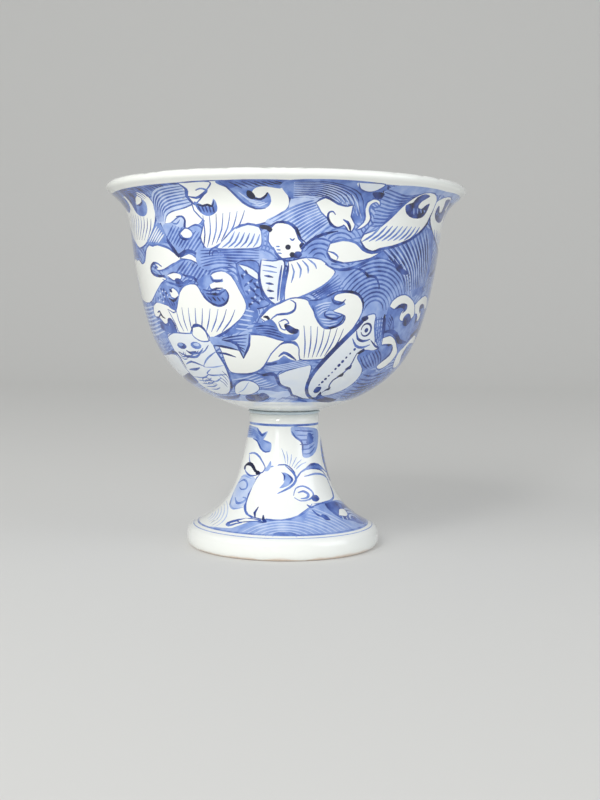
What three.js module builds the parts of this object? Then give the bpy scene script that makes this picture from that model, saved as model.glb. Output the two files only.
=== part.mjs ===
// A porcelain stem cup: a deep bell-shaped bowl with an out-turned lip, luted with glaze to a
// hollow spreading stem. Millimetres, +Z up, origin at the middle of the foot's resting ring.
import * as THREE from "three";
import { mergeVertices } from "three/addons/utils/BufferGeometryUtils.js";

// Driving dimensions, heights from the table
const RIM_RADIUS = 38;
const CUP_HEIGHT = 76.5;
const LIP_THICKNESS = 1.8;
const WALL_THICKNESS = 2.1;
const FLOOR_THICKNESS = 3.8;
const FLOOR_RADIUS = 3.7;
const FLOOR_THINNING_RISE = 15.8;
const LIP_THINNING_RISE = 23.6;
const BELLY_RADIUS = 31.4;
const BELLY_HEIGHT = 56.5;
const BASE_PAD_RADIUS = 7.4;
const LUTING_THICKNESS = 0.6;
const LUTING_BULGE = 0.25;
const STEM_HEIGHT = 28.6;
const COLLAR_RADIUS = 7.5;
const COLLAR_LENGTH = 2.6;
const FOOT_RADIUS = 20.7;
const FOOT_WIDEST_HEIGHT = 2;
const FOOT_EDGE_HEIGHT = 4.3;
const FOOT_EDGE_INSET = 0.8;
const RESTING_RING_OUTER = 19.4;
const RESTING_RING_WIDTH = 1.3;
const RESTING_RING_BEVEL = 0.8;
const BORE_RADIUS = 4.9;
const BORE_SHOULDER_HEIGHT = 19.5;
const BORE_TOP_COVER = 4.2;

// Handles of the profile curves: how far each curve runs straight on before it turns
const UNDERSIDE_PULL = 18;
const UNDERSIDE_ANGLE = THREE.MathUtils.degToRad(14.7);
const BELLY_PULL = 14.6;
const BELLY_LEAN = THREE.MathUtils.degToRad(11);
const WALL_PULL = 12.7;
const LIP_PULL = 7;
const LIP_ANGLE = THREE.MathUtils.degToRad(34);
const STEM_PULL = 11.3;
const STEM_LEAN = THREE.MathUtils.degToRad(10);
const FOOT_PULL = 10.6;
const FOOT_SLOPE = THREE.MathUtils.degToRad(23.5);
const HOLLOW_PULL = 6.5;
const HOLLOW_SLOPE = THREE.MathUtils.degToRad(26);
const BORE_PULL = 8.5;
const FOOT_UNDER_PULL = 0.9;
const FOOT_SIDE_PULL = 1.1;
const FOOT_TOP_PULL = 1;
const FOOT_TOP_SLOPE = THREE.MathUtils.degToRad(35);
const DOME_ROUNDNESS = 0.55;

// Fineness of the faceted solids
const SEGMENTS = 60;
const BOWL_STEPS = 9;
const LIP_STEPS = 4;
const STEM_STEPS = 10;
const ROLL_STEPS = 3;
const WELD_DISTANCE = 1e-4;

const porcelain = new THREE.MeshStandardMaterial({ color: 0xe9ece8, roughness: 0.12, metalness: 0 });
const lutingGlaze = new THREE.MeshStandardMaterial({ color: 0xdfe6e4, roughness: 0.12, metalness: 0 });

const at = (radius, height) => new THREE.Vector2(radius, height);
const toward = (start, angle, length) =>
  at(start.x + Math.cos(angle) * length, start.y + Math.sin(angle) * length);

// A cubic curve in the profile plane, without its first point when it follows another
function curve(start, startHandle, endHandle, end, steps, follows = true) {
  const points = new THREE.CubicBezierCurve(start, startHandle, endHandle, end).getPoints(steps);
  return follows ? points.slice(1) : points;
}

// Turns a closed profile round the Z axis; LatheGeometry itself turns about Y
function turned(profile) {
  const lathe = new THREE.LatheGeometry(profile, SEGMENTS).rotateX(Math.PI / 2);
  lathe.deleteAttribute("normal");
  lathe.deleteAttribute("uv");
  return withoutSlivers(mergeVertices(lathe, WELD_DISTANCE));
}

// Drops the faces that collapse where a profile meets the axis
function withoutSlivers(geometry) {
  const index = geometry.index.array;
  const kept = [];
  for (let i = 0; i < index.length; i += 3) {
    const [a, b, c] = [index[i], index[i + 1], index[i + 2]];
    if (a !== b && b !== c && a !== c) kept.push(a, b, c);
  }
  geometry.setIndex(kept);
  return geometry;
}

const bowlBase = STEM_HEIGHT + LUTING_THICKNESS;
const lipRadius = LIP_THICKNESS / 2;

// The bowl's outside line, from the base pad to where the rounded lip begins
function bowlOutside() {
  const pad = at(BASE_PAD_RADIUS, bowlBase);
  const belly = at(BELLY_RADIUS, BELLY_HEIGHT);
  const nose = at(RIM_RADIUS - lipRadius, CUP_HEIGHT - lipRadius);
  const lip = toward(nose, LIP_ANGLE - Math.PI / 2, lipRadius);
  const underside = curve(
    pad,
    toward(pad, UNDERSIDE_ANGLE, UNDERSIDE_PULL),
    toward(belly, -Math.PI / 2 - BELLY_LEAN, BELLY_PULL),
    belly,
    BOWL_STEPS,
    false,
  );
  const wall = curve(
    belly,
    toward(belly, Math.PI / 2 - BELLY_LEAN, WALL_PULL),
    toward(lip, LIP_ANGLE - Math.PI, LIP_PULL),
    lip,
    BOWL_STEPS,
  );
  return [...underside, ...wall];
}

// The inside line follows the outside one, as deep as the clay is thick at that height
function bowlInside(outside) {
  const inside = [];
  for (let i = outside.length - 2; i > 0; i--) {
    const along = outside[i + 1].clone().sub(outside[i - 1]).normalize();
    const rise = outside[i].y - bowlBase;
    const towardWall = THREE.MathUtils.smoothstep(rise, 0, FLOOR_THINNING_RISE);
    const towardLip = THREE.MathUtils.inverseLerp(LIP_THINNING_RISE, CUP_HEIGHT - bowlBase, rise);
    const lower = THREE.MathUtils.lerp(FLOOR_THICKNESS, WALL_THICKNESS, towardWall);
    const thick = THREE.MathUtils.lerp(lower, LIP_THICKNESS, Math.max(0, towardLip));
    inside.push(at(outside[i].x - along.y * thick, outside[i].y + along.x * thick));
  }
  return inside.filter((point) => point.x > FLOOR_RADIUS);
}

function bowl() {
  const outside = bowlOutside();
  const nose = at(RIM_RADIUS - lipRadius, CUP_HEIGHT - lipRadius);
  const lip = [];
  for (let i = 1; i <= LIP_STEPS; i++) {
    lip.push(toward(nose, LIP_ANGLE - Math.PI / 2 + (i / LIP_STEPS) * Math.PI, lipRadius));
  }
  const floor = at(0, bowlBase + FLOOR_THICKNESS);
  return turned([at(0, bowlBase), ...outside, ...lip, ...bowlInside(outside), floor]);
}

// The glaze that bonds the two thrown parts, squeezed out a little all round
function luting() {
  const middle = STEM_HEIGHT + LUTING_THICKNESS / 2;
  return turned([
    at(0, STEM_HEIGHT),
    at(COLLAR_RADIUS, STEM_HEIGHT),
    at(COLLAR_RADIUS + LUTING_BULGE, middle),
    at(COLLAR_RADIUS, bowlBase),
    at(0, bowlBase),
  ]);
}

// The foot's rolled edge, from the resting ring out and up to the painted slope
function footEdge() {
  const ring = at(RESTING_RING_OUTER, 0);
  const widest = at(FOOT_RADIUS, FOOT_WIDEST_HEIGHT);
  const edge = at(FOOT_RADIUS - FOOT_EDGE_INSET, FOOT_EDGE_HEIGHT);
  const under = at(ring.x + FOOT_UNDER_PULL, 0);
  const over = toward(edge, -FOOT_TOP_SLOPE, FOOT_TOP_PULL);
  return [
    ...curve(ring, under, at(widest.x, widest.y - FOOT_SIDE_PULL), widest, ROLL_STEPS, false),
    ...curve(widest, at(widest.x, widest.y + FOOT_SIDE_PULL), over, edge, ROLL_STEPS),
  ];
}

// The stem's slope, from the foot's edge up to the collar under the bowl
function stemSlope() {
  const edge = at(FOOT_RADIUS - FOOT_EDGE_INSET, FOOT_EDGE_HEIGHT);
  const collar = at(COLLAR_RADIUS, STEM_HEIGHT - COLLAR_LENGTH);
  return curve(
    edge,
    toward(edge, Math.PI - FOOT_SLOPE, FOOT_PULL),
    toward(collar, -Math.PI / 2 + STEM_LEAN, STEM_PULL),
    collar,
    STEM_STEPS,
  );
}

// The hollow under the foot: a bevel inside the resting ring, a wide bell, and a domed bore
function hollow() {
  const ring = at(RESTING_RING_OUTER - RESTING_RING_WIDTH, 0);
  const bevel = at(ring.x - RESTING_RING_BEVEL, RESTING_RING_BEVEL);
  const shoulder = at(BORE_RADIUS, BORE_SHOULDER_HEIGHT);
  const top = at(0, STEM_HEIGHT - BORE_TOP_COVER);
  const domeRise = top.y - shoulder.y;
  const dome = curve(
    top,
    at(BORE_RADIUS * DOME_ROUNDNESS, top.y),
    at(BORE_RADIUS, shoulder.y + domeRise * DOME_ROUNDNESS),
    shoulder,
    ROLL_STEPS,
    false,
  );
  const bell = curve(
    shoulder,
    at(shoulder.x, shoulder.y - BORE_PULL),
    toward(bevel, Math.PI - HOLLOW_SLOPE, HOLLOW_PULL),
    bevel,
    STEM_STEPS,
  );
  return [...dome, ...bell, ring];
}

// The stem is thrown hollow with its foot, and its flat top carries the bowl
function stem() {
  const collarTop = at(COLLAR_RADIUS, STEM_HEIGHT);
  return turned([...hollow(), ...footEdge(), ...stemSlope(), collarTop, at(0, STEM_HEIGHT)]);
}

function part(name, geometry, material) {
  const mesh = new THREE.Mesh(geometry, material);
  mesh.name = name;
  return mesh;
}

const cup = new THREE.Group();
cup.add(part("bowl", bowl(), porcelain));
cup.add(part("luting_glaze", luting(), lutingGlaze));
cup.add(part("stem_and_foot", stem(), porcelain));

export default cup;
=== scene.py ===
# %% [markdown]
# A porcelain stem cup, painted in cobalt blue under a clear glaze with sea beasts among breaking
# waves. The real cup is two thrown pieces, a bell-shaped bowl and a hollow stem with a spreading
# foot, bonded with a film of glaze. Their frame is already built at real size; this lesson gives
# each piece its fine turned surface, its painting and its glaze.

# %% The frame and the box that it fills
import math
import random
import bmesh
import bpy
import numpy as np
from mathutils import Color, Matrix, Vector
from mathutils.bvhtree import BVHTree
from mathutils.geometry import delaunay_2d_cdt


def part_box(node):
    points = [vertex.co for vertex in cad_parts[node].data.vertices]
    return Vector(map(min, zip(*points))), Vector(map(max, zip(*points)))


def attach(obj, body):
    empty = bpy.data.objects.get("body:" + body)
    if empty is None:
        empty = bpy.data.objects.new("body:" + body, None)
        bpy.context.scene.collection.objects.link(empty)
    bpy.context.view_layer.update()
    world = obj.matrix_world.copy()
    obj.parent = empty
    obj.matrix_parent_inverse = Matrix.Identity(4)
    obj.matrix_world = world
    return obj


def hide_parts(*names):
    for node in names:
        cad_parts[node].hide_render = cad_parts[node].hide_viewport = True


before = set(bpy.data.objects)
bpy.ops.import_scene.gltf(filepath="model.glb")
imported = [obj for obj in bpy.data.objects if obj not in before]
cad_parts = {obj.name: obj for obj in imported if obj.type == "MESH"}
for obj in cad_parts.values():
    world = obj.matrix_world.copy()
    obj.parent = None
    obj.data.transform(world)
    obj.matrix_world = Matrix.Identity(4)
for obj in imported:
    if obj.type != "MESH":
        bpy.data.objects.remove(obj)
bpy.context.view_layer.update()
MM = 0.001
print("frame nodes:", sorted(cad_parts))

# %% [markdown]
# Two small helpers serve every material below. One turns the colour that a person would pick on
# screen, an sRGB hex value, into the linear light that shaders add up. The other adds a shader node
# with its settings and wires it in, so that each material reads as a list of what it is made of.

# %% Helpers for colours and nodes
def linear(hex_colour):
    parts = [int(hex_colour[i:i + 2], 16) / 255 for i in (1, 3, 5)]
    return (*Color(parts).from_srgb_to_scene_linear(), 1.0)


def add_node(tree, kind, inputs=None, **settings):
    node = tree.nodes.new(kind)
    for name, value in settings.items():
        setattr(node, name, value)
    for name, value in (inputs or {}).items():
        if isinstance(value, bpy.types.NodeSocket):
            tree.links.new(value, node.inputs[name])
        else:
            node.inputs[name].default_value = value
    return node


def new_material(name):
    material = bpy.data.materials.new(name)
    material.use_nodes = True
    material.node_tree.nodes.clear()
    return material, material.node_tree


print("mid grey in linear light:", [round(c, 3) for c in linear("#808080")])

# %% [markdown]
# The camera stands where the photographer stood. Matching the rim's and the foot's ellipses to a
# turned form gives the lens, the distance and a slight downward tilt. The picture also leans a
# little, so the camera is rolled by that angle about its own line of sight.

# %% The camera
FOCAL_MM = 54
SENSOR_MM = 36
NEAREST_SEEN = 0.01
CAMERA_DISTANCE = 258.5
CAMERA_HEIGHT = 50.0
CAMERA_SIDE = 3.4
CAMERA_TILT = 0.0725
CAMERA_ROLL = 0.0115

camera = bpy.data.objects.new("camera", bpy.data.cameras.new("camera"))
camera.data.lens = FOCAL_MM
camera.data.sensor_width = SENSOR_MM
camera.data.clip_start = NEAREST_SEEN
look = Matrix.Rotation(math.pi / 2 - CAMERA_TILT, 4, "X") @ Matrix.Rotation(CAMERA_ROLL, 4, "Z")
stand = Vector((CAMERA_SIDE, -CAMERA_DISTANCE, CAMERA_HEIGHT)) * MM
camera.matrix_world = Matrix.Translation(stand) @ look
bpy.context.scene.collection.objects.link(camera)
bpy.context.scene.camera = camera
bpy.context.scene.view_settings.view_transform = "Standard"
print("camera set", CAMERA_DISTANCE, "mm from the axis")

# %% [markdown]
# A studio table: one pale sweep of floor and backdrop, a broad window-like lamp from the upper
# left, a weaker fill from the right and a tall narrow lamp that draws the upright streak on the
# stem. The paper is partly lit and partly glows by itself, so that it stays a plain pale grey to
# the camera and gives the glaze something soft to mirror. Its sizes are in metres.

# %% Floor, backdrop and lamps
BACKDROP_COLOUR = "#E9E9E6"
SWEEP_WIDTH = 1.6
SWEEP_DEPTH = 0.55
SWEEP_HEIGHT = 0.9
SWEEP_RADIUS = 0.25
SWEEP_STEPS = 12
GLOW_STRENGTH = 0.62
GLOW_IN_GLAZE = 0.35
GLOW_TO_CAMERA = 0.5


def sweep_material():
    material, tree = new_material("studio paper")
    colour = linear(BACKDROP_COLOUR)
    paper = add_node(tree, "ShaderNodeBsdfDiffuse", {"Color": colour})
    glow = add_node(tree, "ShaderNodeEmission", {"Color": colour, "Strength": GLOW_STRENGTH})
    rays = add_node(tree, "ShaderNodeLightPath").outputs
    glossy = add_node(tree, "ShaderNodeMath", {0: rays["Is Glossy Ray"], 1: rays["Is Transmission Ray"]},
                      operation="MAXIMUM")
    share = add_node(tree, "ShaderNodeMath", {0: glossy.outputs[0], 1: GLOW_IN_GLAZE},
                     operation="MULTIPLY")
    seen = add_node(tree, "ShaderNodeMath", {0: rays["Is Camera Ray"], 1: GLOW_TO_CAMERA},
                    operation="MULTIPLY")
    either = add_node(tree, "ShaderNodeMath", {0: share.outputs[0], 1: seen.outputs[0]},
                      operation="MAXIMUM")
    mix = add_node(tree, "ShaderNodeMixShader",
                   {0: either.outputs[0], 1: paper.outputs[0], 2: glow.outputs[0]})
    add_node(tree, "ShaderNodeOutputMaterial", {"Surface": mix.outputs[0]})
    return material


def sweep():
    profile = [(-SWEEP_DEPTH * 2, 0.0)]
    for i in range(SWEEP_STEPS + 1):
        turn = i / SWEEP_STEPS * math.pi / 2
        rise = SWEEP_RADIUS * (1 - math.cos(turn))
        profile.append((SWEEP_DEPTH + SWEEP_RADIUS * math.sin(turn), rise))
    profile.append((SWEEP_DEPTH + SWEEP_RADIUS, SWEEP_HEIGHT))
    points = [(side * SWEEP_WIDTH, y, z) for y, z in profile for side in (-1, 1)]
    faces = [(2 * i, 2 * i + 1, 2 * i + 3, 2 * i + 2) for i in range(len(profile) - 1)]
    mesh = bpy.data.meshes.new("studio_sweep")
    mesh.from_pydata(points, [], faces)
    mesh.shade_smooth()
    mesh.materials.append(sweep_material())
    piece = bpy.data.objects.new("studio_sweep", mesh)
    bpy.context.scene.collection.objects.link(piece)


def area_lamp(name, place, aim_height, size, power, colour):
    lamp = bpy.data.lights.new(name, "AREA")
    lamp.shape = "RECTANGLE"
    lamp.size, lamp.size_y = size
    lamp.energy = power
    lamp.color = linear(colour)[:3]
    holder = bpy.data.objects.new(name, lamp)
    holder.location = place
    way = Vector((0, 0, aim_height)) - Vector(place)
    holder.rotation_euler = way.to_track_quat("-Z", "Y").to_euler()
    bpy.context.scene.collection.objects.link(holder)


# Name, place, aim height, size, watts, colour
LAMPS = (
    ("window", (-0.42, -0.35, 0.42), 0.045, (0.34, 0.34), 1.1, "#FFFDF8"),
    ("fill", (0.6, -0.3, 0.25), 0.04, (0.5, 0.5), 1.35, "#F4F8FF"),
    ("streak", (-0.175, -0.48, 0.36), 0.03, (0.09, 0.42), 2.1, "#FFFFFF"),
)
AIR_COLOUR = "#F3F5F8"
AIR_STRENGTH = 0.38

sweep()
for lamp_values in LAMPS:
    area_lamp(*lamp_values)
world = bpy.data.worlds.new("studio air")
bpy.context.scene.world = world
world.use_nodes = True
air = world.node_tree.nodes["Background"].inputs
air["Color"].default_value = linear(AIR_COLOUR)
air["Strength"].default_value = AIR_STRENGTH
print("studio ready, with", len(LAMPS), "lamps")

# %% [markdown]
# Thrown and turned forms come from one line swept round the axis. The outside line of the bowl and
# the slope of the stem are each a pair of smooth curves through the sizes of the frame: the pad
# that sits on the stem, the belly, and the out-turned lip.

# %% Sizes from the frame, in millimetres
def size_of(node):
    low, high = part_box(node)
    return [c / MM for c in low], [c / MM for c in high]


bowl_low, bowl_high = size_of("bowl")
stem_high = size_of("stem_and_foot")[1]
film_high = size_of("luting_glaze")[1]
RIM_RADIUS = 38.0
CUP_HEIGHT = 76.5
LIP_THICKNESS = 1.8
WALL_THICKNESS = 2.1
FLOOR_THICKNESS = 3.8
BOWL_BASE = bowl_low[2]
PAD_RADIUS = 7.4
BELLY = (31.4, 56.5)
COLLAR_RADIUS = 7.5
COLLAR_LENGTH = 2.6
STEM_TOP = stem_high[2]
FOOT_RADIUS = stem_high[0]
FOOT_EDGE_INSET = 0.8
FOOT_EDGE_HEIGHT = 4.3
FOOT_EDGE = (FOOT_RADIUS - FOOT_EDGE_INSET, FOOT_EDGE_HEIGHT)
print("bowl from", round(BOWL_BASE, 2), "to", round(bowl_high[2], 2), "mm")
print("foot radius", round(FOOT_RADIUS, 2), "mm")

# %% [markdown]
# A profile is a chain of cubic curves, the same tool as in a drawing program: each end point has a
# handle, an angle and a pull that say which way the line sets off and how long it keeps that way.
# A revolved spline would look the same, but points that are computed here can carry the painting.

# %% Profile lines
UNDERSIDE_ANGLE, UNDERSIDE_PULL = 14.7, 18
BELLY_LEAN, BELLY_PULL = 11, 14.6
WALL_PULL, LIP_PULL = 12.7, 7
LIP_ANGLE = 34
FOOT_SLOPE, FOOT_PULL = 23.5, 10.6
STEM_LEAN, STEM_PULL = 10, 11.3
STEM_GIRTH = 10.0


def toward(start, degrees, length):
    angle = math.radians(degrees)
    return (start[0] + math.cos(angle) * length, start[1] + math.sin(angle) * length)


def bezier(a, b, c, d, steps=120):
    t = np.linspace(0, 1, steps + 1)[:, None]
    a, b, c, d = (np.array(p, float) for p in (a, b, c, d))
    return (1 - t) ** 3 * a + 3 * (1 - t) ** 2 * t * b + 3 * (1 - t) * t * t * c + t ** 3 * d


lip_nose = (RIM_RADIUS - LIP_THICKNESS / 2, CUP_HEIGHT - LIP_THICKNESS / 2)
lip_under = toward(lip_nose, LIP_ANGLE - 90, LIP_THICKNESS / 2)


def bowl_outside():
    pad = (PAD_RADIUS, BOWL_BASE)
    under = bezier(pad, toward(pad, UNDERSIDE_ANGLE, UNDERSIDE_PULL),
                   toward(BELLY, -90 - BELLY_LEAN, BELLY_PULL), BELLY)
    wall = bezier(BELLY, toward(BELLY, 90 - BELLY_LEAN, WALL_PULL),
                  toward(lip_under, LIP_ANGLE - 180, LIP_PULL), lip_under)
    return np.vstack([under, wall[1:]])


def stem_outside():
    collar = (COLLAR_RADIUS, STEM_TOP - COLLAR_LENGTH)
    slope = bezier(FOOT_EDGE, toward(FOOT_EDGE, 180 - FOOT_SLOPE, FOOT_PULL),
                   toward(collar, STEM_LEAN - 90, STEM_PULL), collar)
    return np.vstack([slope, [(COLLAR_RADIUS, STEM_TOP)]])


def along(line):
    steps = np.linalg.norm(np.diff(line, axis=0), axis=1)
    return np.concatenate([[0], np.cumsum(steps)])


class Turned:
    """An outside line swept round the axis: x runs round it at the girth radius, v along it."""

    def __init__(self, line, girth):
        self.line = line
        self.run = along(line)
        self.length = float(self.run[-1])
        self.girth = girth
        self.width = 2 * math.pi * girth

    def radius(self, v):
        return np.interp(v, self.run, self.line[:, 0])

    def height(self, v):
        return np.interp(v, self.run, self.line[:, 1])

    def place(self, x, v):
        angle = np.asarray(x) / self.girth
        r = self.radius(v)
        return np.stack([r * np.sin(angle), -r * np.cos(angle), self.height(v)], axis=-1)


bowl_form = Turned(bowl_outside(), BELLY[0])
stem_form = Turned(stem_outside(), STEM_GIRTH)
print("bowl line", round(bowl_form.length, 1), "mm; stem line", round(stem_form.length, 1), "mm")

# %% [markdown]
# The painter lays cobalt on the raw clay with a pointed brush: pale wash first, then lines, then
# the darkest touches. Here the painting is drawn flat, on the turned surface rolled out to a plane
# in millimetres. Each touch is a closed shape with a tone from 0, bare white, to 1, thick cobalt,
# and a later touch covers an earlier one. An image texture would be quicker, but drawn edges stay
# sharp however close the camera comes.

# %% The brush
WHITE, MIST, PALE, WASH, MID, DEEP, DARK, INK = 0.0, 0.07, 0.24, 0.42, 0.56, 0.7, 0.84, 1.0
BRUSH_STEP = 0.3
LONGEST_STEP = 1.6
SHARPEST_TURN = 0.33
BRUSH_WEIGHT = 1.15
BRUSH_TIP = 0.35
STRAIGHT_POINTS = 5
OUTLINE_WIDTH = 0.24
OUTLINE_ENDS = (0.02, 0.02)
DOT_POINTS = 10
ARC_STEP = 24
SEAM_REACH = 0.5
COLUMNS = 260


def smooth(points, closed=False):
    """A Catmull-Rom curve through a few points, with more steps where it turns faster."""
    p = np.array(points, float)
    if len(p) < 3:
        return p[0] + (p[-1] - p[0]) * np.linspace(0, 1, STRAIGHT_POINTS)[:, None]
    if closed:
        p = np.vstack([p[-1], p, p[0], p[1]])
    else:
        p = np.vstack([2 * p[0] - p[1], p, 2 * p[-1] - p[-2]])
    out = []
    for i in range(1, len(p) - 2):
        a, b, c, d = p[i - 1:i + 3]
        before, after = c - a, d - b
        turn = abs(math.atan2(before[0] * after[1] - before[1] * after[0], float(before @ after)))
        span = np.linalg.norm(c - b)
        bends = min(math.ceil(turn / SHARPEST_TURN), math.ceil(span / BRUSH_STEP))
        count = max(1, math.ceil(span / LONGEST_STEP), bends)
        t = np.linspace(0, 1, count, endpoint=False)[:, None]
        out.append(0.5 * (2 * b + (c - a) * t + (2 * a - 5 * b + 4 * c - d) * t * t
                          + (3 * b - a - 3 * c + d) * t ** 3))
    if not closed:
        out.append(p[-2][None])
    return np.vstack(out)


def signed_area(polygon):
    x, y = polygon[:, 0], polygon[:, 1]
    return 0.5 * float(np.sum(x * np.roll(y, -1) - np.roll(x, -1) * y))


class Brush:
    """Collects touches on the rolled-out surface, in the order they are painted."""

    def __init__(self, form):
        self.form = form
        self.touches = []
        self.shift = (0.0, 0.0)
        self.mirror = 1

    def at(self, shift=(0.0, 0.0), mirror=1):
        self.shift, self.mirror = shift, mirror
        return self

    def lay(self, polygons, tone, solid):
        """Keeps a touch, and its twin across the seam where it reaches over the plane's edge."""
        moved = [p * (self.mirror, 1) + self.shift for p in polygons]
        low = min(p[:, 0].min() for p in moved)
        high = max(p[:, 0].max() for p in moved)
        half, width = self.form.width / 2, self.form.width
        for turn in (-1, 0, 1):
            if high + turn * width > -half - SEAM_REACH and low + turn * width < half + SEAM_REACH:
                self.touches.append(([p + (turn * width, 0) for p in moved], tone, solid))

    def band(self, low, high, tone):
        """A plain band right round the form."""
        x = np.linspace(-self.form.width / 2, self.form.width / 2, COLUMNS + 1)
        lower = np.stack([x, np.full_like(x, low)], 1)
        upper = np.stack([x[::-1], np.full_like(x, high)], 1)
        self.touches.append(([np.concatenate([lower, upper])], tone, True))

    def fill(self, points, tone, line=None):
        """A filled shape; bare porcelain is kept inside a thin drawn outline."""
        shape = smooth(points, True)
        self.lay([shape], tone, True)
        line = (DEEP if tone < PALE else 0) if line is None else line
        if line:
            self.stroke(np.vstack([points, points[:1]]), OUTLINE_WIDTH, line, OUTLINE_ENDS)

    def dot(self, x, v, radius, tone, flat=1.0):
        turn = np.linspace(0, 2 * math.pi, DOT_POINTS, endpoint=False)
        ring = np.stack([x + radius * np.cos(turn), v + radius * flat * np.sin(turn)], 1)
        self.lay([ring], tone, True)

    def stroke(self, points, width=0.35, tone=0.7, thin=(0.35, 0.35)):
        """A line that swells in the middle and thins towards its ends, as a pointed brush gives."""
        line = smooth(points)
        if len(line) < 2:
            return
        run = along(line)
        t = run / run[-1]
        swell = np.minimum(1, np.minimum(t / thin[0], (1 - t) / thin[1]) * (1 - BRUSH_TIP) + BRUSH_TIP)
        way = np.gradient(line, axis=0)
        way /= np.maximum(1e-9, np.linalg.norm(way, axis=1))[:, None]
        side = np.stack([-way[:, 1], way[:, 0]], 1) * (width * BRUSH_WEIGHT / 2 * swell)[:, None]
        left, right = line + side, line - side
        quads = [np.array([right[i], right[i + 1], left[i + 1], left[i]]) for i in range(len(line) - 1)]
        self.lay(quads, tone, False)

    def arcs(self, centre, radii, start, end, width=0.3, tone=0.6):
        """Lines round one centre, between two angles."""
        for radius in radii:
            count = max(4, int(abs(end - start) / ARC_STEP + radius / 2))
            turn = np.radians(np.linspace(start, end, count))
            points = [(centre[0] + radius * math.cos(a), centre[1] + radius * math.sin(a)) for a in turn]
            self.stroke(points, width, tone)

    def comb(self, first, last, count, width=0.3, tone=0.65, thin=(0.25, 0.25)):
        """Lines drawn side by side, easing from the first guide line to the last."""
        a, b = np.array(first, float), np.array(last, float)
        for i in range(count):
            t = i / max(1, count - 1)
            self.stroke(a + (b - a) * t, width, tone, thin)


print("brush steps from", BRUSH_STEP, "to", LONGEST_STEP, "mm")

# %% [markdown]
# The sea is combed: fans of fine concentric lines in mid blue over a pale wash, overlapping like
# scales and never twice alike. A fixed seed keeps them the same each run.

# %% The combed sea
PAINT_LOW = 8.0
PAINT_HIGH = 58.2
SEA_SEED = 11
# Lengths in millimetres, leans and insets in degrees; sizes are shares of the reach
FAN_REACH = 6.5
FAN_PITCH = 1.55 * FAN_REACH
FAN_RISE = 0.62 * FAN_REACH
FAN_DROP = 0.2
FAN_SHIFT = 0.18
FAN_LEAN = 25
FAN_SIZES = (0.9, 1.15)
FAN_TONES = (0.3, 0.46)
FAN_POINTS = 15
LINE_SPACING = 0.85
SMALLEST_LINE = 0.8
LINE_INSET = 6
LINE_MARGIN = 0.2
LINE_POINTS = 7
LINE_WIDTH = 0.3
LINE_TONES = (0.55, 0.68)
LINE_ENDS = (0.2, 0.2)
NARROWEST = 8


def fan_points(centre, radius, stretch, angles):
    return [(centre[0] + radius * stretch * math.cos(a), centre[1] + radius * math.sin(a))
            for a in np.radians(angles)]


def sea_fan(brush, dice, centre, lean, size):
    """One scale of the sea: a wash, and the lines combed through it."""
    stretch = brush.form.girth / max(NARROWEST, float(brush.form.radius(centre[1])))
    wash = np.array(fan_points(centre, size, stretch, np.linspace(lean, 180 + lean, FAN_POINTS)))
    wash[:, 1] = np.clip(wash[:, 1], PAINT_LOW, PAINT_HIGH)
    brush.lay([wash], dice.uniform(*FAN_TONES), True)
    angles = np.linspace(lean + LINE_INSET, 180 - LINE_INSET + lean, LINE_POINTS)
    for radius in np.arange(size, SMALLEST_LINE, -LINE_SPACING):
        points = [p for p in fan_points(centre, radius, stretch, angles)
                  if PAINT_LOW + LINE_MARGIN < p[1] < PAINT_HIGH - LINE_MARGIN]
        if len(points) > 2:
            brush.stroke(points, LINE_WIDTH, dice.uniform(*LINE_TONES), LINE_ENDS)


def sea_ground(brush):
    """The wash right round, then rows of fans from the lip down, each over the one above it."""
    dice = random.Random(SEA_SEED)
    brush.band(PAINT_LOW, PAINT_HIGH, WASH)
    width = brush.form.width
    columns = int(width / FAN_PITCH)
    rows = int((PAINT_HIGH - PAINT_LOW) / FAN_RISE)
    for row in range(rows, -1, -1):
        v = PAINT_LOW + (row - FAN_DROP) * (PAINT_HIGH - PAINT_LOW) / rows
        for column in range(columns):
            step = column + 0.5 * (row % 2) + dice.uniform(-FAN_SHIFT, FAN_SHIFT)
            lean = dice.uniform(-FAN_LEAN, FAN_LEAN)
            size = FAN_REACH * dice.uniform(*FAN_SIZES)
            sea_fan(brush, dice, (-width / 2 + step * (width / columns), v), lean, size)


print("sea from", PAINT_LOW, "to", PAINT_HIGH, "mm along the bowl's line")
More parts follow.
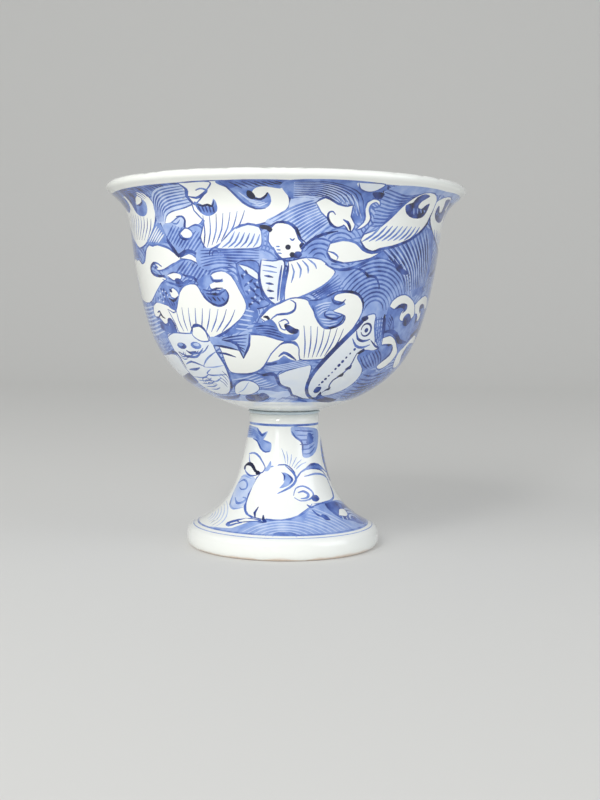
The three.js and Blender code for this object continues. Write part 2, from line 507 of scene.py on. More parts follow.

# %% [markdown]
# Breakers curl along the top of the wall: white foam inside a dark hook, with combed water behind.
# Each figure is a short function, drawn in the plane where it stands on the front of the bowl, so
# that a figure can be moved or mirrored as a whole. Its points were chosen one by one, since no
# formula gives a painter's line. From here on, figures are listed from the lip downwards.

# %% Breakers along the top
def left_breaker(b):
    b.fill([(-46, 55), (-40, 56.8), (-36, 56.5), (-30.5, 56.9), (-28, 56), (-27, 53.5), (-27.6, 50.5),
            (-29.5, 48), (-32.5, 46), (-36, 45.5), (-40, 47.5), (-46, 49)], WHITE)
    b.fill([(-36.2, 58), (-36, 54.5), (-34.8, 52.4), (-32, 51.6), (-30, 52.3), (-29.4, 54.2), (-30.4, 55),
            (-31.4, 54.1), (-33.2, 53.9), (-33, 55.2), (-31, 56), (-31, 57.4)], MID)
    b.fill([(-36.2, 58), (-36, 54.5), (-35, 52.6), (-34.2, 53.2), (-33.6, 54.4), (-32.4, 55.4),
            (-32.6, 57.6)], DARK)
    b.stroke([(-33.8, 53.9), (-32, 54), (-30.8, 54.4), (-30.2, 55.2)], 0.4, DARK)
    b.stroke([(-36, 45.4), (-32.4, 46), (-29.4, 47.9), (-27.5, 50.4), (-26.9, 53.4), (-27.8, 56)], 0.45,
             DEEP)
    b.comb([(-42, 47.6), (-40, 50.6), (-40, 53)], [(-31.4, 46.8), (-29.6, 49), (-29, 51)], 9, 0.3, DEEP,
           (0.6, 0.3))
    b.comb([(-34.6, 57.6), (-31.4, 56.4), (-29.6, 54.8)], [(-28.4, 57.8), (-27.6, 56.8), (-27.2, 55.6)], 5,
           0.26, DEEP)


def left_edge(b):
    b.fill([(-48, 58), (-40, 58), (-37.4, 56), (-38, 53.6), (-41, 53), (-44, 54.6), (-48, 54)], DEEP)
    b.comb([(-46, 57.6), (-41.4, 56.4), (-39, 54)], [(-47, 54.8), (-44, 55.4), (-41.6, 53.6)], 6, 0.3, INK)
    b.fill([(-48, 50), (-43, 50.4), (-40.6, 48), (-38, 46.6), (-36.4, 44.2), (-38.4, 43), (-42, 43.4),
            (-48, 42)], MID)
    b.comb([(-47.6, 49.6), (-43, 49.6), (-39, 46)], [(-47.6, 43), (-42, 44.2), (-37.4, 43.6)], 8, 0.32,
           DARK)
    b.fill([(-48, 33), (-44.6, 34), (-42.6, 36.4), (-42.8, 39), (-45, 41.4), (-48, 42)], MID)
    b.comb([(-47, 41), (-44.6, 39.4), (-43.4, 37)], [(-47.6, 36), (-46.4, 35.4), (-45.4, 34.4)], 6, 0.3,
           DARK)


def stream(b):
    b.fill([(-27, 50), (-27, 54.6), (-24, 57), (-18, 57.6), (-14.4, 56), (-15, 52), (-20, 49),
            (-24.5, 48.6)], PALE)
    b.comb([(-27, 50.2), (-26.9, 54), (-24, 56.4), (-18, 57.2)],
           [(-25, 50.2), (-24.5, 51.9), (-22.4, 52.9), (-17.6, 53.6)], 7)
    b.fill([(-24.6, 49.8), (-24, 51.2), (-22.4, 52), (-19, 52.6), (-16, 53.4), (-14.5, 52.5), (-15, 50.5),
            (-16.6, 49), (-18.4, 48.8), (-19.4, 48.6), (-19.2, 50.2), (-20.2, 51), (-21.5, 50.6),
            (-23, 49.8)], WHITE)
    b.stroke([(-22.6, 49.9), (-21.4, 49.6), (-20.5, 50.4)], 0.3, DEEP)
    b.stroke([(-21.4, 51), (-20, 51), (-19.3, 50.2), (-19.6, 49.2), (-19, 48.3)], 0.38, DARK)
    b.fill([(-25.4, 49.4), (-22.6, 49.8), (-19.6, 48.4), (-16, 49.4), (-14.4, 47), (-14.6, 44.4),
            (-16.6, 43), (-19, 44.4), (-21.6, 43.4), (-23.4, 45.4), (-24.6, 47)], WASH)
    b.comb([(-24.8, 46.6), (-22.4, 49.4)], [(-18, 43.8), (-14.6, 47.6)], 11, 0.34, DEEP)
    b.stroke([(-18.8, 48.7), (-17, 49.3), (-15.6, 48.7), (-14.6, 47.3), (-14.9, 46)], 0.36, DEEP)
    b.fill([(-20.7, 47.8), (-19.6, 48.7), (-18.4, 48.5), (-17.7, 47.6), (-18.4, 46.8), (-20, 46.9)], WHITE)
    b.stroke([(-21, 48.2), (-20.8, 47.1), (-19.6, 46.6), (-18, 46.8), (-17.4, 47.9)], 0.36, DARK)
    b.stroke([(-26, 50), (-24.6, 47), (-22.8, 44.8), (-21.6, 43.5), (-20, 44.2), (-18, 44.2), (-15, 42)],
             0.7, DARK)
    b.fill([(-31.4, 46.2), (-28.6, 48.4), (-26.8, 50.2), (-25.2, 48.6), (-24.6, 46.4), (-27, 45.9)], MID)
    b.comb([(-30.6, 46.5), (-27.2, 49.4)], [(-27.4, 46.2), (-25.2, 47.8)], 5, 0.3, MIST)


def small_hook(b):
    b.fill([(-18.2, 58), (-17.2, 56), (-17.9, 54.6), (-16.8, 53.2), (-15.4, 54), (-13.6, 55.8),
            (-12.4, 58)], WHITE)
    b.stroke([(-18.4, 58), (-17.4, 56.4), (-17.9, 54.8), (-16.6, 53)], 0.6, DEEP)
    b.stroke([(-17.9, 54.9), (-16, 54.4), (-14.6, 55), (-13.5, 55.9), (-14.5, 56.4), (-15.6, 56)], 0.5,
             DEEP)
    b.fill([(-16.7, 53.7), (-16.2, 52.2), (-15, 51.1), (-13.6, 50.9), (-12.2, 51.8), (-12.2, 53.4),
            (-12.7, 54.1), (-13.2, 53), (-14.2, 52.7), (-15.2, 53.1)], MID)
    b.comb([(-16, 52.8), (-15.4, 51.6)], [(-13, 52.8), (-12.8, 51.4)], 5, 0.28, DARK)
    b.stroke([(-16.2, 53.1), (-15, 52.8), (-14, 53), (-13.1, 52.7), (-12.6, 53.8)], 0.42, INK)


def middle_breaker(b):
    b.fill([(-17.5, 58.2), (-10, 58.2), (-6, 57.6), (-1.5, 57.4), (0.4, 55.5), (1, 53), (-0.3, 51.2),
            (-3, 49.6), (-6, 48.9), (-8.5, 48.3), (-11, 46.2), (-14.5, 44.6), (-16, 47), (-15, 50),
            (-17, 52)], WHITE)
    b.fill([(-10.7, 58.2), (-9.4, 56.2), (-8, 54.1), (-6.5, 52.8), (-4.8, 52.1), (-3, 52.3), (-2.2, 53.5),
            (-2.5, 55), (-3, 55.2), (-3.4, 54.2), (-4.6, 54.2), (-5.4, 55.2), (-4.6, 56.3), (-3, 56.6),
            (-0.7, 56.1), (0.6, 57), (1.5, 58.2)], MID)
    b.fill([(-10.7, 58.2), (-9.2, 56.2), (-7.6, 56.8), (-5.4, 57), (-2.6, 57.4), (0.5, 57.2), (1.5, 58.2)],
           DEEP)
    b.comb([(-7.8, 55.4), (-6.4, 54), (-5, 53.6)], [(-5.6, 52.8), (-4.2, 52.6), (-2.8, 53.2)], 5, 0.25,
           PALE)
    b.comb([(-9, 57.8), (-7.8, 56.9), (-7, 56.2)], [(-1.6, 58), (-0.4, 57.4), (0.6, 57.2)], 8, 0.3, INK)
    b.stroke([(-10.6, 58), (-9, 55.6), (-7.2, 53.3), (-5, 52.1), (-3.2, 52.2)], 0.4, DARK)
    b.fill([(-6.2, 55.7), (-5.4, 55.4), (-4.9, 54.3), (-5.6, 53.9), (-6.4, 54.6)], INK)
    b.stroke([(-5.3, 54.1), (-4, 53.9), (-3.1, 54.6), (-2.7, 55.3)], 0.42, INK)
    b.comb([(-15.6, 44.6), (-15, 47.4), (-15.2, 51)], [(-9.8, 46.8), (-8, 49.2), (-7, 51.8)], 7, 0.3, DEEP,
           (0.3, 0.7))
    b.stroke([(1.1, 53.2), (0.7, 51.8), (-0.8, 50.9), (-3.2, 49.6)], 0.3, DEEP)
    b.stroke([(0.6, 57.4), (0.9, 55.4), (1.1, 53)], 0.3, DEEP)


def right_sea(b):
    b.fill([(-3.4, 49.6), (0.8, 52), (1.2, 54), (6, 53.8), (9, 52.6), (8.4, 49.8), (6, 47.6), (3.6, 45.6),
            (2.6, 48.2)], PALE)
    b.comb([(-2.6, 50), (2, 52.6), (6.4, 54.2)], [(3.6, 46.2), (5.6, 48), (8, 49.8)], 11, 0.34, MID)
    b.fill([(1.4, 54), (0.8, 58.2), (17, 58.2), (15.4, 54), (14.8, 50.4), (12.6, 50), (12.4, 53.2), (9, 54),
             (6.6, 55)], MID)
    b.comb([(1.6, 57.6), (7, 57.4), (12.2, 54.8), (14.4, 50.8)],
           [(1.6, 54), (3.6, 54.2), (6, 53.8), (7, 54.6)], 10, 0.26, PALE)
    b.comb([(1.8, 58), (8, 57.8), (13.4, 55.4), (15, 51)], [(1.8, 54.6), (4, 54.9), (6.4, 54.6), (7.4, 55)],
            9, 0.2, DARK)
    b.fill([(12.2, 58.2), (12.9, 56.7), (14.6, 56), (16.2, 56.5), (17, 58.2)], MIST)
    b.fill([(17, 50), (18, 55), (20, 58.2), (34, 58.2), (28, 56), (23.6, 54), (21.6, 51.8), (19.6, 49.8)],
           WASH)
    b.comb([(16.6, 49.4), (19, 49.6), (21, 50.8)], [(18, 57), (23, 55.8), (27, 56.8)], 11, 0.36, DEEP)


def foam(b):
    b.fill([(5.6, 53.4), (7.2, 54.4), (9, 53.7), (11, 52.9), (12.5, 53.1), (12.3, 51), (13.2, 49.6),
            (12.6, 48.2), (11.8, 48.4), (11.1, 49.3), (9.8, 48.8), (8.4, 49.3), (7.9, 50.4), (6.6, 51.6)],
           WHITE)
    b.stroke([(5.4, 53.2), (6.8, 54.4), (8.2, 54.1), (9.6, 53.3), (11.4, 52.9), (12.6, 53.2)], 0.4, DARK)
    b.stroke([(9.3, 51.2), (8.8, 51.8), (8.1, 51.6), (7.9, 50.8), (8.3, 49.8), (9.2, 49), (10.2, 48.9),
              (11, 49.4)], 0.4, DARK)
    b.stroke([(10.8, 50.4), (11.7, 49.9), (12.2, 49), (12.4, 48.1)], 0.5, DARK)
    b.fill([(15.2, 53.8), (16.2, 54.6), (17.6, 54.3), (17.9, 53.2), (17, 53.9), (16, 53.4), (15.8, 52.4),
            (16.3, 51), (15.8, 49.8), (14.6, 48.9), (13.4, 48.6), (14.8, 50), (15.1, 51.2), (14.9, 52.6)],
           WHITE)
    b.stroke([(16.4, 54.7), (15.2, 54), (14.8, 52.6), (15.1, 51.2), (14.8, 50), (13.4, 48.7)], 0.34, DEEP)
    b.stroke([(17.8, 54.2), (17.8, 53.2), (16.8, 52.9), (16, 53.2), (15.9, 52.2), (16.4, 51), (15.9, 49.7)],
              0.34, DEEP)
    b.fill([(15.6, 56), (17.9, 56), (17.7, 54.7), (16.4, 54.8)], DARK)


def right_breaker(b):
    b.fill([(14.5, 46.4), (15.2, 47.8), (17.6, 48.7), (20, 50.4), (22, 52.2), (24, 54.4), (27, 57),
            (30, 57.3), (32.6, 56), (33.5, 53.6), (32.4, 50.8), (30, 48.8), (26.6, 47.2), (23, 45.9),
            (19, 45.2), (17.4, 44.6), (15.8, 45)], WHITE)
    b.fill([(24, 53.9), (24.8, 52.2), (27, 51.5), (29.6, 51.8), (31, 53), (31, 54.8), (29.8, 54.4),
            (29, 53.6), (27.7, 53.8), (28, 55), (29.4, 56.4), (27.4, 56.8), (26, 55.8), (25.6, 54.6)],
           DARK)
    b.comb([(26.4, 53.6), (27, 52.2)], [(29.8, 53.4), (30.4, 53)], 4, 0.25, WASH)
    b.comb([(14.9, 46.4), (17, 47.7), (18.9, 49.6)], [(26.4, 47.2), (28.2, 48.4), (29.6, 50)], 9, 0.36,
           MID)
    b.stroke([(14.5, 46.7), (15.6, 45.1), (17.4, 44.5), (19, 45.1), (22, 45.7), (26, 47), (29.4, 48.6),
              (32.4, 51), (33.5, 53.8)], 0.5, DARK, (0.1, 0.1))


print("breakers along the top: 8 figures")

# %% [markdown]
# In the middle swims the horned creature, with a pale brow, dark eyes, a scaled back and a long
# pale fin. Its scales are pairs of dark touches round a pale dot, so a loop lays them down its back.

# %% The sea creature
def creature(b):
    b.fill([(-16.4, 44.6), (-9, 44.8), (-4.3, 44.4), (-1.6, 42.8), (8, 41), (9.6, 43), (8.4, 47), (6.4, 48),
             (3.2, 46), (3, 43), (-4.3, 41), (-9, 42.2), (-13, 40.4), (-17, 41.6)], WASH)
    b.comb([(-16.2, 44.4), (-12, 44.4), (-8, 44.6), (-4.4, 44.3)],
           [(-16.4, 41.8), (-12.5, 42.6), (-9, 42.3), (-4.6, 42.4)], 5, 0.34, DEEP)
    b.comb([(-16, 41.4), (-12.6, 42), (-9.4, 41.8)], [(-13, 38.4), (-11, 39.4), (-9.4, 39.6)], 4, 0.32,
           DEEP)
    b.arcs((-13, 43.6), (0.7, 1.3), 20, 200, 0.3, DARK)
    b.fill([(-11.8, 45.8), (-9, 48.5), (-6.5, 49.3), (-4.4, 48.7), (-3.9, 46.5), (-4.5, 44.9), (-8, 44.6),
            (-12.4, 44.7)], MIST)
    b.comb([(-11.6, 44.9), (-10, 46), (-9, 47.9)], [(-5.6, 44.9), (-4.9, 45.8), (-4.3, 47.4)], 6, 0.3, MID)
    b.stroke([(-8.8, 48.4), (-6.5, 49.3), (-4.4, 48.8), (-3, 48.4)], 0.4, DEEP)
    b.comb([(-4, 48), (-3.6, 46.2), (-4.2, 44.2)], [(-2.4, 47.4), (-2.3, 45.8), (-2.8, 44)], 3, 0.32, MID)
    b.fill([(-2.6, 48), (-1.5, 49.4), (0.5, 49.5), (2, 48.4), (2.7, 46.6), (3.6, 45.6), (3.4, 44.4),
            (2.6, 43.4), (0.6, 42.9), (-0.8, 43), (-1.8, 44.6), (-2.8, 46)], WHITE)
    b.stroke([(-2.6, 48.7), (-1.2, 49.6), (0.8, 49.5), (2.3, 48.4), (3.1, 46.6), (4, 45.9)], 0.5, DARK)
    b.fill([(-4.3, 49.1), (-2.9, 49), (-2, 48.3), (-2.5, 47.7), (-3.1, 48.2), (-4.1, 48.4)], INK)
    b.dot(0.8, 45, 0.52, INK)
    b.dot(3.4, 45.3, 0.58, INK)
    b.dot(1.6, 43.6, 0.52, INK)
    b.fill([(2.1, 44.1), (3, 44.2), (3.4, 43.6), (2.8, 43), (2, 43.1)], DARK)
    b.stroke([(1.1, 46.7), (1.6, 46.3), (2, 46.7)], 0.3, DEEP)
    b.stroke([(-1.9, 45), (-1.4, 43.8), (-0.4, 42.8), (0.8, 42.4)], 0.45, DEEP)
    b.comb([(-1.4, 45.1), (-0.7, 45.1)], [(-1.2, 43.9), (-0.3, 43.8)], 3, 0.22, MID)
    b.stroke([(0.6, 42.6), (2, 42.3), (3.6, 42.4), (4.2, 43.4)], 0.45, DEEP)
    b.arcs((6.6, 42.6), (1.4, 2.3, 3.2, 4.1), 20, 150, 0.32, DEEP)
    b.stroke([(3.2, 44.6), (5, 46.4), (7.4, 47.6), (10, 48.2)], 0.5, DARK)


SCALE_REACH = 0.5
SCALE_GAP = 0.45


def creature_body(b):
    b.fill([(-8.9, 41.8), (-7.6, 42.4), (-4.6, 41.8), (-4.2, 36), (-2.6, 34.2), (-5.4, 33.2), (-7, 34),
            (-8.2, 38)], MID, DARK)
    b.fill([(-8.6, 41.8), (-6.8, 41.4), (-4.9, 40.2), (-4.8, 38.8), (-6.2, 39.5), (-7.6, 40.6)], MIST)
    b.stroke([(-9, 42), (-8.7, 39.5), (-8, 37), (-7.2, 34.8), (-6.6, 33.4)], 0.4, DEEP)
    for x, v, turn in ((-7.4, 39.8, -1.2), (-6.7, 38.2, 0.6), (-6.6, 36.8, -0.8), (-5.4, 37.1, -0.6),
                       (-5.5, 35.5, -0.5), (-5, 38.3, -1.0), (-6.1, 34.4, 0.4), (-4.6, 34.8, -0.6)):
        reach = (SCALE_REACH * math.cos(turn), SCALE_REACH * math.sin(turn))
        for side in (-SCALE_GAP, SCALE_GAP):
            b.stroke([(x + side - reach[0], v + side - reach[1]), (x + side, v + side * 0.6),
                      (x + side + reach[0], v + side + reach[1])], 0.42, DARK)
        b.dot(x, v, 0.2, PALE)
    b.fill([(-4.2, 42.6), (-4.5, 39), (-3.7, 36), (-2.2, 34.2), (-0.9, 34.2), (-0.2, 36), (0.2, 42.2),
            (-2, 42.4)], MIST)
    b.comb([(-3.6, 39.6), (-2.8, 39.5), (-1.9, 39.3)], [(-2.9, 35.4), (-2.3, 35.3), (-1.7, 35.3)], 4, 0.42,
           DARK)
    b.comb([(-3.9, 41.6), (-2.4, 41.4), (-1.2, 41.1)], [(-3.9, 40.6), (-2.4, 40.4), (-1.2, 40.2)], 2, 0.3,
           MID)
    b.stroke([(-4.1, 42.6), (-4.6, 39.6), (-4.2, 37), (-3.1, 35.2), (-1.6, 34.1), (-0.3, 34.2)], 0.5, DARK)
    b.comb([(-0.3, 41.6), (-0.8, 38), (-1.1, 34.8)], [(0.9, 42), (0.5, 39), (-0.2, 35.2)], 3, 0.4, DEEP)
    b.fill([(0.9, 42.3), (4, 43.1), (7, 42.8), (8.5, 41.6), (9.9, 40.5), (8.6, 38.6), (6, 36.8),
            (3.5, 35.7), (1.2, 34.8), (0.2, 35.2), (0.4, 38), (0.9, 40.6)], WHITE)
    b.comb([(1.5, 41.9), (2, 40.4), (1.5, 38.3)], [(4.4, 42.9), (5.8, 41.9), (6.2, 41)], 4, 0.3, MID)
    b.stroke([(1.2, 35), (3.6, 35.7), (6.2, 36.9), (8.8, 38.6), (10, 40.2)], 0.34, MID)
    b.fill([(8.6, 45.8), (11, 46.5), (13.5, 46.1), (15.2, 45), (17.2, 44.4), (19.4, 44.7), (17, 43.3),
            (14, 42.6), (11, 42.2), (9, 42.6), (8, 44)], WHITE)
    b.stroke([(8.9, 46.2), (11.4, 46.7), (13.8, 46.1), (15.2, 44.9), (17.2, 44.3), (19.8, 44.7)], 0.45,
             DEEP)
    b.stroke([(8.1, 44.2), (8.7, 43), (9.8, 42.5), (11.4, 42.3)], 0.45, DARK)
    b.stroke([(8.2, 44.4), (9.3, 44.1), (10.2, 43.4), (10, 42.8)], 0.32, DEEP)
    b.stroke([(7.8, 42), (9.6, 41.1), (12, 41), (14, 41.6), (17, 43), (19.4, 43.4)], 0.55, DEEP)


print("creature: head and body")

# %% [markdown]
# Beside the creature the water runs in long combed fans on the right, and on the left in a broad
# white wave with dark hooks under it. Fans are arcs round one centre, which a brush on a slowly
# turning wheel would also give.

# %% The open sea to the right and left
def fan_sea(b):
    b.fill([(7, 36), (9.8, 40.6), (14, 42.2), (18, 43.2), (24, 42), (28, 39), (30, 35.4), (26, 35),
            (22, 31.6), (17, 32), (16, 36), (12, 37)], WASH)
    b.arcs((19.6, 32.6), [2.6 + 0.82 * i for i in range(10)], 12, 172, 0.34, DEEP)
    b.comb([(5.4, 36.2), (8.4, 38), (10.6, 40)], [(6.4, 34.8), (9.6, 36.8), (12, 37.6)], 5, 0.34, DEEP)
    b.stroke([(13, 41.4), (15.4, 41), (17, 39.9), (18.6, 39.8), (19.8, 38.4), (20, 37.4)], 0.5, DARK)
    b.fill([(18, 43.8), (22, 45.6), (28, 47.6), (33, 50), (37, 48), (37, 40), (31, 36), (29, 40), (24, 43)],
            MID)
    b.comb([(19.4, 45.2), (22.8, 42.8), (26, 40.2), (28, 37)],
           [(32, 49.6), (34, 46.4), (35, 43), (35.4, 38.6)], 12, 0.34, DARK)
    b.comb([(20, 45.2), (23.4, 43), (26.6, 40.4), (28.6, 37)],
           [(32.6, 49.6), (34.6, 46.4), (35.6, 43), (36, 38.6)], 12, 0.22, PALE)
    b.fill([(22.8, 43.4), (24, 42.6), (26, 41.6), (28, 40.8), (26.6, 40.4), (24, 41.2)], DARK)


def left_wave(b):
    b.fill([(-46, 44), (-40, 44.6), (-36, 42.4), (-33.6, 42.9), (-32.6, 44.7), (-31, 45.9), (-28, 46),
            (-24.6, 45.3), (-22.6, 44), (-20.6, 42.8), (-23.6, 41.9), (-26.4, 40.9), (-28.8, 40.8),
            (-29, 41.8), (-30.6, 42), (-31.2, 41), (-30.4, 40.2), (-27.6, 39.6), (-26, 39), (-28, 38.2),
            (-30.8, 36.4), (-34, 34.6), (-37, 34.2), (-42, 35), (-46, 37)], WHITE)
    b.stroke([(-34.2, 42.6), (-32.9, 44.7), (-30.8, 46), (-29.4, 45.7), (-27.6, 45.9), (-24, 44.9),
              (-21.6, 43.2)], 0.42, DEEP)
    b.stroke([(-27, 41.5), (-28.2, 42.1), (-29.8, 42.3), (-31.2, 41.5), (-31.2, 40.5), (-29.6, 39.8),
              (-27, 39.6), (-24.6, 40)], 0.55, DARK)
    b.stroke([(-29.8, 41), (-29.1, 41.6), (-28.4, 41.3)], 0.42, DARK)
    b.fill([(-26.8, 40.7), (-24, 41.5), (-21, 42.7), (-18, 42.6), (-15, 41.3), (-12, 41), (-12, 38),
            (-13, 37), (-15.4, 35.4), (-16.6, 36.8), (-17.6, 38.6), (-19.4, 39.2), (-21.6, 40.3),
            (-23.4, 39.8), (-26, 39.5)], WASH)
    b.comb([(-23, 40), (-20, 42.6)], [(-15, 36), (-11.6, 40.4)], 12, 0.36, DEEP)
    b.stroke([(-26.6, 40.7), (-23.8, 41.5), (-21, 42.7), (-18.2, 42.7), (-16, 41.6)], 0.4, MID)
    b.stroke([(-22, 40.3), (-20.4, 39.6), (-18.4, 39.2), (-17.2, 38), (-16.4, 36.4), (-15.2, 34.8)], 0.5,
             DARK)
    b.fill([(-21.4, 43), (-19, 43.9), (-17.4, 43.1), (-15.6, 41.6), (-16.8, 41.8), (-18.6, 42.6),
            (-20, 42.8)], WHITE)
    b.fill([(-25.8, 39.8), (-23.6, 40.3), (-21.6, 39.9), (-21.8, 38.9), (-24, 38.7)], WHITE)
    b.fill([(-23.4, 39), (-22.2, 39.1), (-21.2, 38.4), (-20.4, 38.8), (-18.8, 38.7), (-20.2, 38),
            (-22.2, 37.4), (-23.2, 37.9)], DARK)
    b.stroke([(-27.4, 39), (-25, 38.2), (-22.4, 37.8), (-20, 38)], 0.4, DEEP)


def dark_hooks(b):
    b.fill([(-32, 34.6), (-30.2, 36.4), (-28, 38.1), (-26, 37.7), (-25.4, 36.6), (-27, 35.6), (-26.6, 34.4),
             (-28, 34)], MID)
    for x, v in ((-29.6, 36.6), (-28.6, 37), (-27.6, 36.9), (-27, 36.2), (-28.2, 35.9), (-29.4, 35.5),
                 (-30.4, 35.2), (-28.9, 34.9), (-27.7, 35)):
        b.dot(x, v, 0.3, DARK)
        b.dot(x + 0.4, v - 0.4, 0.16, MIST)
    b.fill([(-27.5, 35.7), (-26.2, 34.9), (-24.8, 34.4), (-23.6, 35), (-22.5, 35.9), (-22.4, 34.4),
            (-23.8, 33.1), (-25.6, 32.8), (-27.3, 33.8)], MID)
    b.comb([(-26.9, 34.9), (-26.2, 33.5)], [(-23.4, 34.8), (-23.2, 33.8)], 5, 0.28, DEEP)
    b.fill([(-25.7, 36.4), (-24.6, 37.3), (-23.3, 36.6), (-23, 35.6), (-24, 35.1), (-25.4, 35.4)], WHITE)
    b.stroke([(-26.4, 35.2), (-25.2, 34.7), (-24.2, 34.9), (-23.2, 35.6)], 0.5, INK)
    b.stroke([(-25.6, 37), (-24.9, 36.4)], 0.6, INK)


print("open sea: 3 figures")

# %% [markdown]
# Three more breakers fill the middle of the wall. They are drawn the same way as those above: a
# white body first, then the hook's shade, its dark lines, and pale lines combed through the shade.

# %% Breakers in the middle of the wall
def broad_breaker(b):
    b.fill([(-27.6, 33), (-25, 32.4), (-22.6, 36.4), (-20.6, 37.8), (-18.4, 38), (-17.4, 37.2),
            (-16.4, 35.4), (-14.4, 33.9), (-12.2, 33.9), (-11, 35.2), (-11.4, 36.6), (-14.6, 37),
            (-14.6, 39.6), (-12, 40.5), (-10, 39.5), (-8.6, 37), (-7.3, 34), (-8.2, 31.8), (-10, 30.2),
            (-12.6, 28.5), (-15.6, 27.3), (-17.4, 27.3), (-19, 29), (-20.6, 29.6), (-22, 28), (-25.4, 28.1),
             (-26, 30)], WHITE)
    b.fill([(-17.7, 38.4), (-16.2, 35.8), (-14.6, 34), (-12.4, 33.8), (-10.9, 35.4), (-11.5, 36.9),
            (-12.4, 37), (-13.2, 36), (-15, 36.2), (-15.8, 37), (-13.8, 38.3), (-12, 38.3), (-12, 38.9),
            (-13.8, 38.9), (-14.3, 39.7), (-15.6, 39.7), (-16.8, 39.1)], MID)
    b.stroke([(-16.6, 36.2), (-15.4, 34.6), (-13.4, 33.7), (-11.6, 34.3), (-10.9, 35.8), (-11.5, 37)], 0.42,
              DARK)
    b.stroke([(-16.4, 36.9), (-15, 36.6), (-13.4, 37.1), (-12, 37.2)], 0.4, DARK)
    b.stroke([(-15.9, 36.1), (-14, 36), (-12.8, 36), (-11.5, 36.8)], 0.42, DARK)
    b.stroke([(-14.5, 39.5), (-14, 38.6), (-12.5, 38.5), (-11.9, 39)], 0.42, DARK)
    b.comb([(-16.6, 35.6), (-15.6, 34.6)], [(-12.4, 35.4), (-11.8, 34.6)], 5, 0.26, DARK)
    b.comb([(-24.6, 33.4), (-24.6, 30.6), (-23.8, 28.4)], [(-9.8, 33), (-11, 30.8), (-13.4, 28.4)], 9, 0.3,
           DEEP, (0.7, 0.3))
    b.stroke([(-12, 40.6), (-9.8, 39.7), (-8.4, 37.2), (-7.1, 34), (-8, 31.6), (-10, 30)], 0.4, MID)
    b.stroke([(-10, 30.1), (-12.6, 28.4), (-15.6, 27.2), (-17.4, 27.2)], 0.5, DEEP)
    b.fill([(-8, 31.6), (-6.6, 33.4), (-5.4, 33.6), (-5, 31.6), (-6.6, 30.2), (-9, 28.6), (-13, 27.6),
            (-10.6, 29.4)], MID)
    b.comb([(-7.8, 33), (-5.8, 32.6)], [(-10, 29.2), (-7.4, 29)], 5, 0.26, PALE)


def left_low_breaker(b):
    b.fill([(-46, 34.4), (-38, 34), (-33.4, 34.4), (-30, 33), (-30, 29), (-31, 27), (-38, 26.6), (-46, 27)],
            MID)
    b.comb([(-46, 33.4), (-38, 33.2), (-33.6, 33.6)], [(-46, 27.4), (-38, 27.4), (-31, 28.4)], 8, 0.34,
           PALE)
    b.fill([(-33.6, 33.6), (-31.6, 34.4), (-29, 34.1), (-26.8, 33.6), (-24.6, 32.4), (-24.2, 30),
            (-24.8, 28.1), (-26.4, 28.1), (-26.2, 29.6), (-27, 30.6), (-28.2, 30.6), (-29, 30),
            (-30.2, 29.8), (-31.2, 30.6), (-32.4, 31.3), (-33.8, 31.3), (-34.4, 32.4)], WHITE)
    b.fill([(-32, 30.4), (-30.6, 29.8), (-29.2, 29.5), (-28.3, 29.7), (-28.4, 30.7), (-27.2, 30.9),
            (-26.3, 29.8), (-26.1, 28.1), (-27.6, 27.5), (-30, 28.1), (-32.8, 28.8)], DEEP)
    b.stroke([(-34, 31.3), (-32.6, 31.1), (-31.2, 31.8), (-30.4, 31.3)], 0.4, DARK)
    b.stroke([(-32.4, 32.2), (-31.2, 32.5), (-30.4, 31.4), (-29.4, 31)], 0.46, INK)
    b.stroke([(-31.6, 30.3), (-30, 29.7), (-28.8, 29.7), (-28.4, 30.7), (-27.2, 30.8), (-26.4, 29.6),
              (-26.4, 28)], 0.5, DARK)


